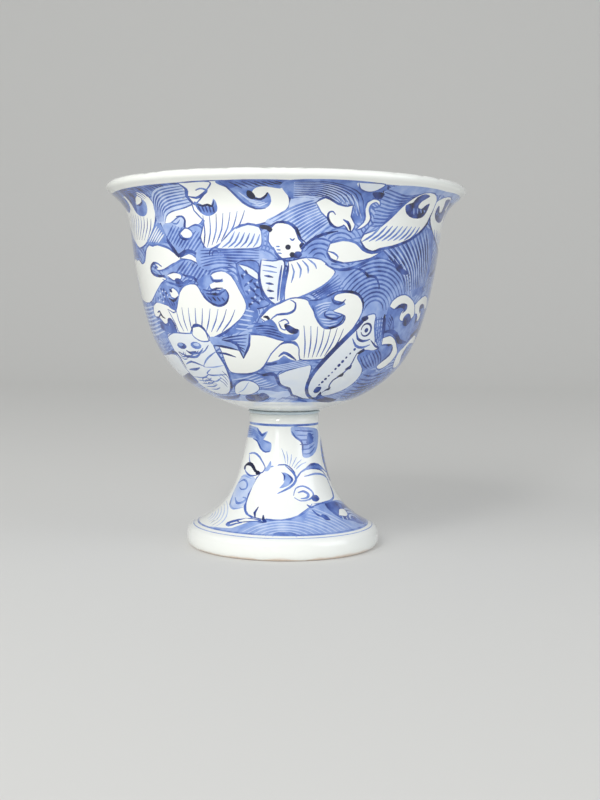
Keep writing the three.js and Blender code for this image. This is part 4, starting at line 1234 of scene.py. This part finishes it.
def touch_loops(brush):
    """The points of all touches, and for each loop the numbers of its points and its tone."""
    width, length = brush.form.width, brush.form.length
    points, faces, tones = [], [], []
    for polys, tone, solid in drop_hidden(brush.touches):
        for polygon in polys:
            clipped = np.clip(polygon, (-width, EDGE_MARGIN), (width, length - EDGE_MARGIN))
            polygon = turned_left(clipped)
            if polygon is None:
                continue
            faces.append(list(range(len(points), len(points) + len(polygon))))
            points.extend(map(tuple, polygon))
            tones.append(tone)
    return points, faces, tones


def loose_grid(form):
    """Grid points over the plane, and the edges of its frame."""
    rows = int(form.length / ROW_STEP)
    grid = [(float(x), float(v)) for v in np.linspace(0, form.length, rows + 1)
            for x in np.linspace(-form.width / 2, form.width / 2, COLUMNS + 1)]
    edges = []
    for row in range(rows + 1):
        start = row * (COLUMNS + 1)
        if row in (0, rows):
            edges.extend((start + i, start + i + 1) for i in range(COLUMNS))
        if row:
            below = start - COLUMNS - 1
            edges.extend(((below, start), (below + COLUMNS, start + COLUMNS)))
    return grid, edges


def triangulate(brush):
    points, faces, tones = touch_loops(brush)
    grid, frame_edges = loose_grid(brush.form)
    edges = [(a + len(points), b + len(points)) for a, b in frame_edges]
    result = delaunay_2d_cdt([Vector(p) for p in points + grid], edges, faces, 0, MERGE_DISTANCE, True)
    flat = np.array([tuple(p) for p in result[0]])
    corners, shade = [], []
    for triangle, owners in zip(result[2], result[5]):
        x = sum(flat[i][0] for i in triangle) / 3
        if abs(x) < brush.form.width / 2:
            corners.append(triangle)
            shade.append(tones[max(owners)] if owners else WHITE)
    return keep_visible(flat, np.array(corners), np.array(shade), grid)


def keep_visible(flat, corners, shade, grid):
    """Triangulates again from the loose grid and only those edges where the tone changes."""
    pairs = [corners[:, pair] for pair in ([0, 1], [1, 2], [2, 0])]
    sides = np.sort(np.concatenate(pairs), axis=1)
    tones = np.tile(shade, 3)
    order = np.lexsort(sides.T)
    sides, tones = sides[order], tones[order]
    twin = (sides[1:] == sides[:-1]).all(1)
    changes = twin & (tones[1:] != tones[:-1])
    single = ~(np.append(twin, False) | np.insert(twin, 0, False))
    edges = np.concatenate([sides[1:][changes], sides[single]])
    used, index = np.unique(edges, return_inverse=True)
    points = [Vector(p) for p in flat[used]] + [Vector(p) for p in grid]
    result = delaunay_2d_cdt(points, index.reshape(-1, 2).tolist(), [], 0, MERGE_DISTANCE, False)
    finder = BVHTree.FromPolygons([(x, v, 0) for x, v in flat], corners.tolist())
    thinned = np.array([tuple(p) for p in result[0]])
    faces = np.array(result[2])
    middles = thinned[faces].mean(axis=1)
    found = [finder.ray_cast((x, v, 1), (0, 0, -1))[2] for x, v in middles]
    print("triangles before and after thinning:", len(corners), len(faces))
    return thinned, faces, np.array([WHITE if i is None else shade[i] for i in found])


print("grid rows:", int(bowl_form.length / ROW_STEP), "on the bowl")

# %% [markdown]
# The rest of each piece is plain turned work: the rolled lip and the inside of the bowl, and the
# foot's edge and hollow. Rings of points are swept round the axis and joined to the painted sheet
# along their shared edge, so that each piece is one closed skin.

# %% Turned skins
ON_AXIS = 1e-6
LIP_STEPS = 10
INSIDE_STEP = 6
FLOOR_FADE = 3
LIP_FADE = 2
FLOOR_RADIUS = PAD_RADIUS / 2
WELL_SHARES = (0.8, 0.6, 0.4, 0.2, 0)


def ring_grid(profile):
    """Points and quads of a profile swept round the axis; a point on the axis closes it."""
    angles = np.linspace(-math.pi, math.pi, COLUMNS, endpoint=False)
    points, rings = [], []
    for r, z in profile:
        if r < ON_AXIS:
            rings.append([len(points)])
            points.append((0.0, 0.0, z))
        else:
            rings.append(list(range(len(points), len(points) + COLUMNS)))
            points.extend((r * math.sin(a), -r * math.cos(a), z) for a in angles)
    faces = []
    for low, high in zip(rings, rings[1:]):
        for i in range(COLUMNS):
            j = (i + 1) % COLUMNS
            if len(low) == 1:
                faces.append((low[0], high[j], high[i]))
            elif len(high) == 1:
                faces.append((low[i], low[j], high[0]))
            else:
                faces.append((low[i], low[j], high[j], high[i]))
    return points, faces


def lip_and_inside():
    """The rolled lip, then the inside: thinner over the first third up, thinner again to the lip."""
    turn = [LIP_ANGLE - 90 + 180 * i / LIP_STEPS for i in range(LIP_STEPS + 1)]
    lip = [toward(lip_nose, a, LIP_THICKNESS / 2) for a in turn]
    line = bowl_form.line
    inner = []
    for i in range(len(line) - INSIDE_STEP, INSIDE_STEP, -INSIDE_STEP):
        way = line[i + INSIDE_STEP - 1] - line[i - INSIDE_STEP + 1]
        way /= np.linalg.norm(way)
        rise = (line[i][1] - BOWL_BASE) / (CUP_HEIGHT - BOWL_BASE)
        low = FLOOR_THICKNESS + (WALL_THICKNESS - FLOOR_THICKNESS) * min(1, rise * FLOOR_FADE)
        thick = low + (LIP_THICKNESS - low) * max(0, LIP_FADE * rise - LIP_FADE + 1)
        inner.append((line[i][0] - way[1] * thick, line[i][1] + way[0] * thick))
    inner = [p for p in inner if p[0] > FLOOR_RADIUS]
    end = inner[-1]
    floor = BOWL_BASE + FLOOR_THICKNESS
    well = [(end[0] * k, floor + (end[1] - floor) * k * k) for k in WELL_SHARES]
    return lip + inner + well


def bowl_pad():
    return [(0, BOWL_BASE), (FLOOR_RADIUS, BOWL_BASE), (PAD_RADIUS, BOWL_BASE)]


def stem_cap():
    return [(COLLAR_RADIUS, STEM_TOP), (COLLAR_RADIUS / 2, STEM_TOP), (0, STEM_TOP)]


print("lip and inside:", len(lip_and_inside()), "rings")

# %% [markdown]
# The foot stands on a narrow ring and is hollow above it: a small bevel, a wide bell and a domed
# bore, as a turner's tool leaves them. Outside, its edge rolls over into the painted slope.

# %% The foot and its hollow
RESTING_RING = (18.1, 19.4)
RING_BEVEL = 0.8
BORE_RADIUS = 4.9
BORE_SHOULDER = 19.5
BORE_COVER = 4.2
BORE_PULL = 8.5
DOME_ROUNDNESS = 0.55
HOLLOW_SLOPE, HOLLOW_PULL = 26, 6.5
FOOT_WIDEST_HEIGHT = 2.0
FOOT_UNDER_PULL = 0.91
FOOT_SIDE_HANDLES = (0.9, 3.0)
FOOT_TOP_SLOPE, FOOT_TOP_PULL = 35, 1.0
DOME_STEPS, BELL_STEPS, ROLL_STEPS = 8, 20, 6


def foot_and_hollow():
    ring = (RESTING_RING[0], 0)
    bevel = (ring[0] - RING_BEVEL, RING_BEVEL)
    shoulder = (BORE_RADIUS, BORE_SHOULDER)
    top = (0, STEM_TOP - BORE_COVER)
    rise = top[1] - shoulder[1]
    dome = bezier(top, (BORE_RADIUS * DOME_ROUNDNESS, top[1]),
                  (BORE_RADIUS, shoulder[1] + rise * DOME_ROUNDNESS), shoulder, DOME_STEPS)
    bell = bezier(shoulder, (shoulder[0], shoulder[1] - BORE_PULL),
                  toward(bevel, 180 - HOLLOW_SLOPE, HOLLOW_PULL), bevel, BELL_STEPS)
    widest = (FOOT_RADIUS, FOOT_WIDEST_HEIGHT)
    outer = (RESTING_RING[1], 0)
    under = bezier(outer, (outer[0] + FOOT_UNDER_PULL, 0), (widest[0], FOOT_SIDE_HANDLES[0]), widest,
                   ROLL_STEPS)
    edge = bezier(widest, (widest[0], FOOT_SIDE_HANDLES[1]),
                  toward(FOOT_EDGE, -FOOT_TOP_SLOPE, FOOT_TOP_PULL), FOOT_EDGE, ROLL_STEPS)
    return [tuple(p) for p in np.vstack([dome, bell[1:], [ring], under, edge[1:]])]


print("foot and hollow:", len(foot_and_hollow()), "rings")

# %% [markdown]
# Each piece is put together from its painted sheet and its plain skins. The tones go along as one
# number for each face, named "cobalt", which the glaze below turns to colour. Points that meet at
# a shared edge are then welded, so that the piece is closed like the real one.

# %% Joining the painted sheet to the turned skins
WELD_DISTANCE = 0.002 * MM
SLIVER_SIZE = 0.0005 * MM
SHEET_LOW, SHEET_SHARE = 0.42, 0.56
SKIN_SHARE = 0.2
SKIN_REACH = (40, 90)
NEAR_AXIS = 0.01


def painted_piece(name, brush, skins):
    form = brush.form
    flat, corners, shade = triangulate(brush)
    half = form.width / 2
    used = np.unique(corners)
    lookup = {int(i): n for n, i in enumerate(used)}
    x = np.clip(flat[used, 0], -half, half)
    v = flat[used, 1]
    points = [tuple(p) for p in form.place(x, v)]
    faces = [tuple(lookup[int(i)] for i in face) for face in corners]
    tones = list(shade)
    for profile in skins:
        more, quads = ring_grid(profile)
        start = len(points)
        points.extend(more)
        faces.extend(tuple(i + start for i in quad) for quad in quads)
        tones.extend([WHITE] * len(quads))
    mesh = bpy.data.meshes.new(name)
    mesh.from_pydata([Vector(p) * MM for p in points], [], faces)
    layer = mesh.attributes.new("cobalt", "FLOAT", "FACE")
    layer.data.foreach_set("value", [float(t) for t in tones])
    lay_out(mesh, flat[used], faces[:len(corners)], form)
    join_skins(mesh)
    piece = bpy.data.objects.new(name, mesh)
    bpy.context.scene.collection.objects.link(piece)
    print(name, "has", len(mesh.polygons), "faces")
    return piece


def lay_out(mesh, flat, painted, form):
    """The painted sheet takes the upper part of the UV plane, and the turned skins a strip below."""
    plane = mesh.uv_layers.new(name="OFBake").data
    spots = []
    for face in painted:
        for corner in face:
            x, v = flat[corner]
            spots.append((min(1, max(0, x / form.width + 0.5)), SHEET_LOW + SHEET_SHARE * v / form.length))
    for face in list(mesh.polygons)[len(painted):]:
        middle = math.atan2(face.center.x, -face.center.y)
        for corner in face.vertices:
            x, y, z = mesh.vertices[corner].co / MM
            turn = math.atan2(x, -y) if math.hypot(x, y) > NEAR_AXIS else middle
            turn += 2 * math.pi * round((middle - turn) / (2 * math.pi))
            reach = math.hypot(x, y) / SKIN_REACH[0] + z / SKIN_REACH[1]
            spots.append((min(1, max(0, turn / (2 * math.pi) + 0.5)), SKIN_SHARE * reach))
    plane.foreach_set("uv", np.array(spots, np.float32).ravel())


def join_skins(mesh):
    work = bmesh.new()
    work.from_mesh(mesh)
    bmesh.ops.remove_doubles(work, verts=work.verts, dist=WELD_DISTANCE)
    bmesh.ops.dissolve_degenerate(work, edges=work.edges, dist=SLIVER_SIZE)
    bmesh.ops.triangulate(work, faces=[face for face in work.faces if len(face.verts) > 4])
    loose = sum(1 for edge in work.edges if not edge.is_manifold)
    print("edges that are not closed:", loose)
    work.to_mesh(mesh)
    work.free()
    mesh.shade_smooth()


bowl_piece = painted_piece("painted_bowl", bowl_painting, [lip_and_inside(), bowl_pad()])
stem_piece = painted_piece("painted_stem", stem_painting, [foot_and_hollow(), stem_cap()])

# %% [markdown]
# Glazed porcelain: a dense white body with a clear, hard lime glaze fired over it, which gives a
# sharp gloss with a slight orange-peel. Cobalt lies under that glaze, so it never changes the
# gloss. Where the brush left more pigment the blue goes from pale sky to nearly black, with the
# small darker specks that heaped cobalt fires to. The foot's resting ring was wiped clean of glaze
# before firing, so the bare clay there has burned to a warm brown.

# %% The glazed porcelain
BODY_WHITE = "#EFF1EC"
BARE_CLAY = "#C79B72"
COBALT_STEPS = ((0.0, BODY_WHITE), (0.1, "#DCE4EE"), (PALE, "#B4C5E6"), (WASH, "#8AA3D8"),
                (MID, "#5F7DC2"), (DEEP, "#3F5CA8"), (DARK, "#26387C"), (INK, "#10173A"))
GLAZE_COAT = {"IOR": 1.5, "Coat Weight": 0.6, "Coat Roughness": 0.05, "Coat IOR": 1.5}
GLAZE_ROUGHNESS = 0.14
POOL_SIZE, STAIN_SIZE, PEEL_SIZE = 2.381, 6.25, 3.846
POOL_RANGE = {"From Min": 0.3, "From Max": 0.7, "To Min": 0.74, "To Max": 1.2}
STAIN_RANGE = {"From Min": 0.35, "From Max": 0.7, "To Min": 0.3 * MM, "To Max": 1.1 * MM}
BARE_LOW, BARE_SHARE = 0.1 * MM, 0.75
PEEL_STRENGTH, PEEL_DEPTH = 0.06, 0.4 * MM
MIX_FIRST, MIX_SECOND, MIX_COLOUR = 6, 7, 2


def pattern_scale(size):
    """A noise node's scale for patches that are so many millimetres across."""
    return 1 / (size * MM)


def cobalt_colour(tree, place):
    """The blue for a face's tone, a little deeper and paler from spot to spot."""
    paint = add_node(tree, "ShaderNodeAttribute", attribute_name="cobalt")
    pooled = add_node(tree, "ShaderNodeTexNoise",
                      {"Vector": place, "Scale": pattern_scale(POOL_SIZE), "Detail": 3.0})
    swell = add_node(tree, "ShaderNodeMapRange", {"Value": pooled.outputs["Fac"], **POOL_RANGE})
    laid = add_node(tree, "ShaderNodeMath", {0: paint.outputs["Fac"], 1: swell.outputs["Result"]},
                    operation="MULTIPLY")
    ramp = add_node(tree, "ShaderNodeValToRGB", {"Fac": laid.outputs[0]})
    stops = ramp.color_ramp.elements
    while len(stops) < len(COBALT_STEPS):
        stops.new(0.5)
    for stop, (tone, colour) in zip(stops, COBALT_STEPS):
        stop.position = tone
        stop.color = linear(colour)
    return ramp.outputs["Color"]


def bare_share(tree, place):
    """How much bare clay shows: most on the resting ring, none above an uneven line."""
    height = add_node(tree, "ShaderNodeSeparateXYZ", {0: place})
    stain = add_node(tree, "ShaderNodeTexNoise", {"Vector": place, "Scale": pattern_scale(STAIN_SIZE)})
    reach = add_node(tree, "ShaderNodeMapRange", {"Value": stain.outputs["Fac"], **STAIN_RANGE})
    bare = add_node(tree, "ShaderNodeMapRange", {
        "Value": height.outputs["Z"], "From Min": BARE_LOW, "From Max": reach.outputs["Result"],
        "To Min": BARE_SHARE, "To Max": 0.0})
    return bare.outputs["Result"]


def porcelain():
    material, tree = new_material("glazed porcelain with underglaze cobalt")
    place = add_node(tree, "ShaderNodeTexCoord").outputs["Object"]
    body = add_node(tree, "ShaderNodeMix", {
        "Factor": bare_share(tree, place), MIX_FIRST: cobalt_colour(tree, place),
        MIX_SECOND: linear(BARE_CLAY)}, data_type="RGBA")
    peel = add_node(tree, "ShaderNodeTexNoise",
                    {"Vector": place, "Scale": pattern_scale(PEEL_SIZE), "Detail": 1.0})
    skin = add_node(tree, "ShaderNodeBump",
                    {"Strength": PEEL_STRENGTH, "Distance": PEEL_DEPTH, "Height": peel.outputs["Fac"]})
    glaze = add_node(tree, "ShaderNodeBsdfPrincipled", {
        "Base Color": body.outputs[MIX_COLOUR], "Roughness": GLAZE_ROUGHNESS, **GLAZE_COAT,
        "Normal": skin.outputs["Normal"]})
    add_node(tree, "ShaderNodeOutputMaterial", {"Surface": glaze.outputs[0]})
    return material


glazed_porcelain = porcelain()
print("made", glazed_porcelain.name)

# %% [markdown]
# The luting glaze pooled thicker than the rest, so it shows greyer and a little smoother. It bears
# no painting, and one plain colour under the same clear coat is enough for so thin a bead.

# %% The luting glaze
POOLED_GREY = "#C4D2D8"
POOLED_ROUGHNESS = 0.12


def pooled_glaze():
    material, tree = new_material("pooled clear glaze")
    glaze = add_node(tree, "ShaderNodeBsdfPrincipled", {
        "Base Color": linear(POOLED_GREY), "Roughness": POOLED_ROUGHNESS, **GLAZE_COAT})
    add_node(tree, "ShaderNodeOutputMaterial", {"Surface": glaze.outputs[0]})
    return material


luting_glaze = pooled_glaze()
print("made", luting_glaze.name)

# %% [markdown]
# No pot off the wheel is quite true. A Geometry Nodes tree gives each thrown piece its wear: the
# slow unevenness of a hand-turned wall, and along the lip the nibbles where the glaze has flaked.
# A second tree sweeps a small bead round the joint, where the luting glaze was squeezed out.

# %% Geometry Nodes trees
SWAY_SIZE, NIBBLE_SIZE = 29.41, 1.613
STILL_FOOT = {"From Min": 1 * MM, "From Max": 5 * MM}
NIBBLE_RANGE = {"From Min": 0.56, "From Max": 0.68}
NIBBLED_EDGE = 0.9 * MM
BEAD_STEPS, BEAD_SIDES = 180, 16


def nodes_tree(name, values):
    tree = bpy.data.node_groups.new(name, "GeometryNodeTree")
    tree.interface.new_socket("Geometry", in_out="INPUT", socket_type="NodeSocketGeometry")
    for label, value in values.items():
        socket = tree.interface.new_socket(label, in_out="INPUT", socket_type="NodeSocketFloat")
        socket.default_value = value
    tree.interface.new_socket("Geometry", in_out="OUTPUT", socket_type="NodeSocketGeometry")
    return tree, add_node(tree, "NodeGroupInput").outputs


def finish_tree(tree, geometry, material):
    real = add_node(tree, "GeometryNodeRealizeInstances", {"Geometry": geometry})
    dressed = add_node(tree, "GeometryNodeSetMaterial", {"Geometry": real.outputs[0], "Material": material})
    add_node(tree, "NodeGroupOutput", {"Geometry": dressed.outputs[0]})
    return tree


def wear_tree():
    tree, inputs = nodes_tree("thrown wear", {"Unevenness": 0.0, "Nibble Depth": 0.0, "Lip Height": 0.0})
    place = add_node(tree, "GeometryNodeInputPosition").outputs[0]
    height = add_node(tree, "ShaderNodeSeparateXYZ", {0: place}).outputs["Z"]
    slow = add_node(tree, "ShaderNodeTexNoise",
                    {"Vector": place, "Scale": pattern_scale(SWAY_SIZE), "Detail": 1.0})
    swing = add_node(tree, "ShaderNodeMapRange", {"Value": slow.outputs[0], "To Min": -1.0, "To Max": 1.0})
    clear = add_node(tree, "ShaderNodeMapRange", {"Value": height, **STILL_FOOT})
    steady = add_node(tree, "ShaderNodeMath", {0: swing.outputs[0], 1: clear.outputs[0]},
                      operation="MULTIPLY")
    sway = add_node(tree, "ShaderNodeMath", {0: steady.outputs[0], 1: inputs["Unevenness"]},
                    operation="MULTIPLY")
    quick = add_node(tree, "ShaderNodeTexNoise",
                     {"Vector": place, "Scale": pattern_scale(NIBBLE_SIZE), "Detail": 2.0})
    chips = add_node(tree, "ShaderNodeMapRange", {"Value": quick.outputs[0], **NIBBLE_RANGE})
    under = add_node(tree, "ShaderNodeMath", {0: inputs["Lip Height"], 1: NIBBLED_EDGE},
                     operation="SUBTRACT")
    edge = add_node(tree, "ShaderNodeMapRange",
                    {"Value": height, "From Min": under.outputs[0], "From Max": inputs["Lip Height"]})
    bitten = add_node(tree, "ShaderNodeMath", {0: chips.outputs[0], 1: edge.outputs[0]},
                      operation="MULTIPLY")
    bite = add_node(tree, "ShaderNodeMath", {0: bitten.outputs[0], 1: inputs["Nibble Depth"]},
                    operation="MULTIPLY")
    move = add_node(tree, "ShaderNodeMath", {0: sway.outputs[0], 1: bite.outputs[0]}, operation="SUBTRACT")
    normal = add_node(tree, "GeometryNodeInputNormal").outputs[0]
    push = add_node(tree, "ShaderNodeVectorMath", {0: normal}, operation="SCALE")
    tree.links.new(move.outputs[0], push.inputs["Scale"])
    worn = add_node(tree, "GeometryNodeSetPosition",
                    {"Geometry": inputs["Geometry"], "Offset": push.outputs[0]})
    return finish_tree(tree, worn.outputs[0], glazed_porcelain)


def bead_tree():
    tree, inputs = nodes_tree("luting bead", {"Ring Radius": 0.01, "Bead Radius": 0.001})
    ring = add_node(tree, "GeometryNodeCurvePrimitiveCircle",
                    {"Resolution": BEAD_STEPS, "Radius": inputs["Ring Radius"]})
    section = add_node(tree, "GeometryNodeCurvePrimitiveCircle",
                       {"Resolution": BEAD_SIDES, "Radius": inputs["Bead Radius"]})
    swept = add_node(tree, "GeometryNodeCurveToMesh",
                     {"Curve": ring.outputs[0], "Profile Curve": section.outputs[0]})
    middle = (STEM_TOP + BOWL_BASE) / 2 * MM
    raised = add_node(tree, "GeometryNodeTransform",
                      {"Geometry": swept.outputs[0], "Translation": (0, 0, middle)})
    smooth_bead = add_node(tree, "GeometryNodeSetShadeSmooth", {"Geometry": raised.outputs[0]})
    return finish_tree(tree, smooth_bead.outputs[0], luting_glaze)


def settle(piece, tree, values):
    """Runs a tree on a piece and keeps the outcome as its plain mesh."""
    modifier = piece.modifiers.new(tree.name, "NODES")
    modifier.node_group = tree
    for item in tree.interface.items_tree:
        if item.in_out == "INPUT" and item.name in values:
            modifier[item.identifier] = values[item.name]
    graph = bpy.context.evaluated_depsgraph_get()
    settled = bpy.data.meshes.new_from_object(piece.evaluated_get(graph))
    piece.modifiers.clear()
    piece.data = settled
    print(piece.name, "settled with", len(settled.vertices), "points")


wear = wear_tree()
bead = bead_tree()
print("trees:", wear.name, "and", bead.name)

# %% [markdown]
# The trees run on their pieces, and the outcome is kept as plain mesh. Then each piece is hung on
# the frame in place of the solid that it stands for: nothing on a cup moves, so all ride its root.

# %% Running the trees, and dressing the frame
BOWL_UNEVENNESS = 0.07 * MM
STEM_UNEVENNESS = 0.05 * MM
NIBBLE_DEPTH = 0.28 * MM

bead_piece = bpy.data.objects.new("luting_bead", bpy.data.meshes.new("luting_bead"))
bpy.context.scene.collection.objects.link(bead_piece)
settle(bowl_piece, wear, {"Unevenness": BOWL_UNEVENNESS, "Nibble Depth": NIBBLE_DEPTH,
                          "Lip Height": CUP_HEIGHT * MM})
settle(stem_piece, wear, {"Unevenness": STEM_UNEVENNESS})
bead_radius = (BOWL_BASE - STEM_TOP) / 2 * MM
settle(bead_piece, bead, {"Ring Radius": film_high[0] * MM - bead_radius, "Bead Radius": bead_radius})
dress = ((bowl_piece, "bowl", "glazed_porcelain"), (stem_piece, "stem_and_foot", "glazed_porcelain"),
         (bead_piece, "luting_glaze", "luting_glaze"))
for piece, node, slot in dress:
    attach(piece, "root")
    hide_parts(node)
print("pieces on the frame:", len(dress))
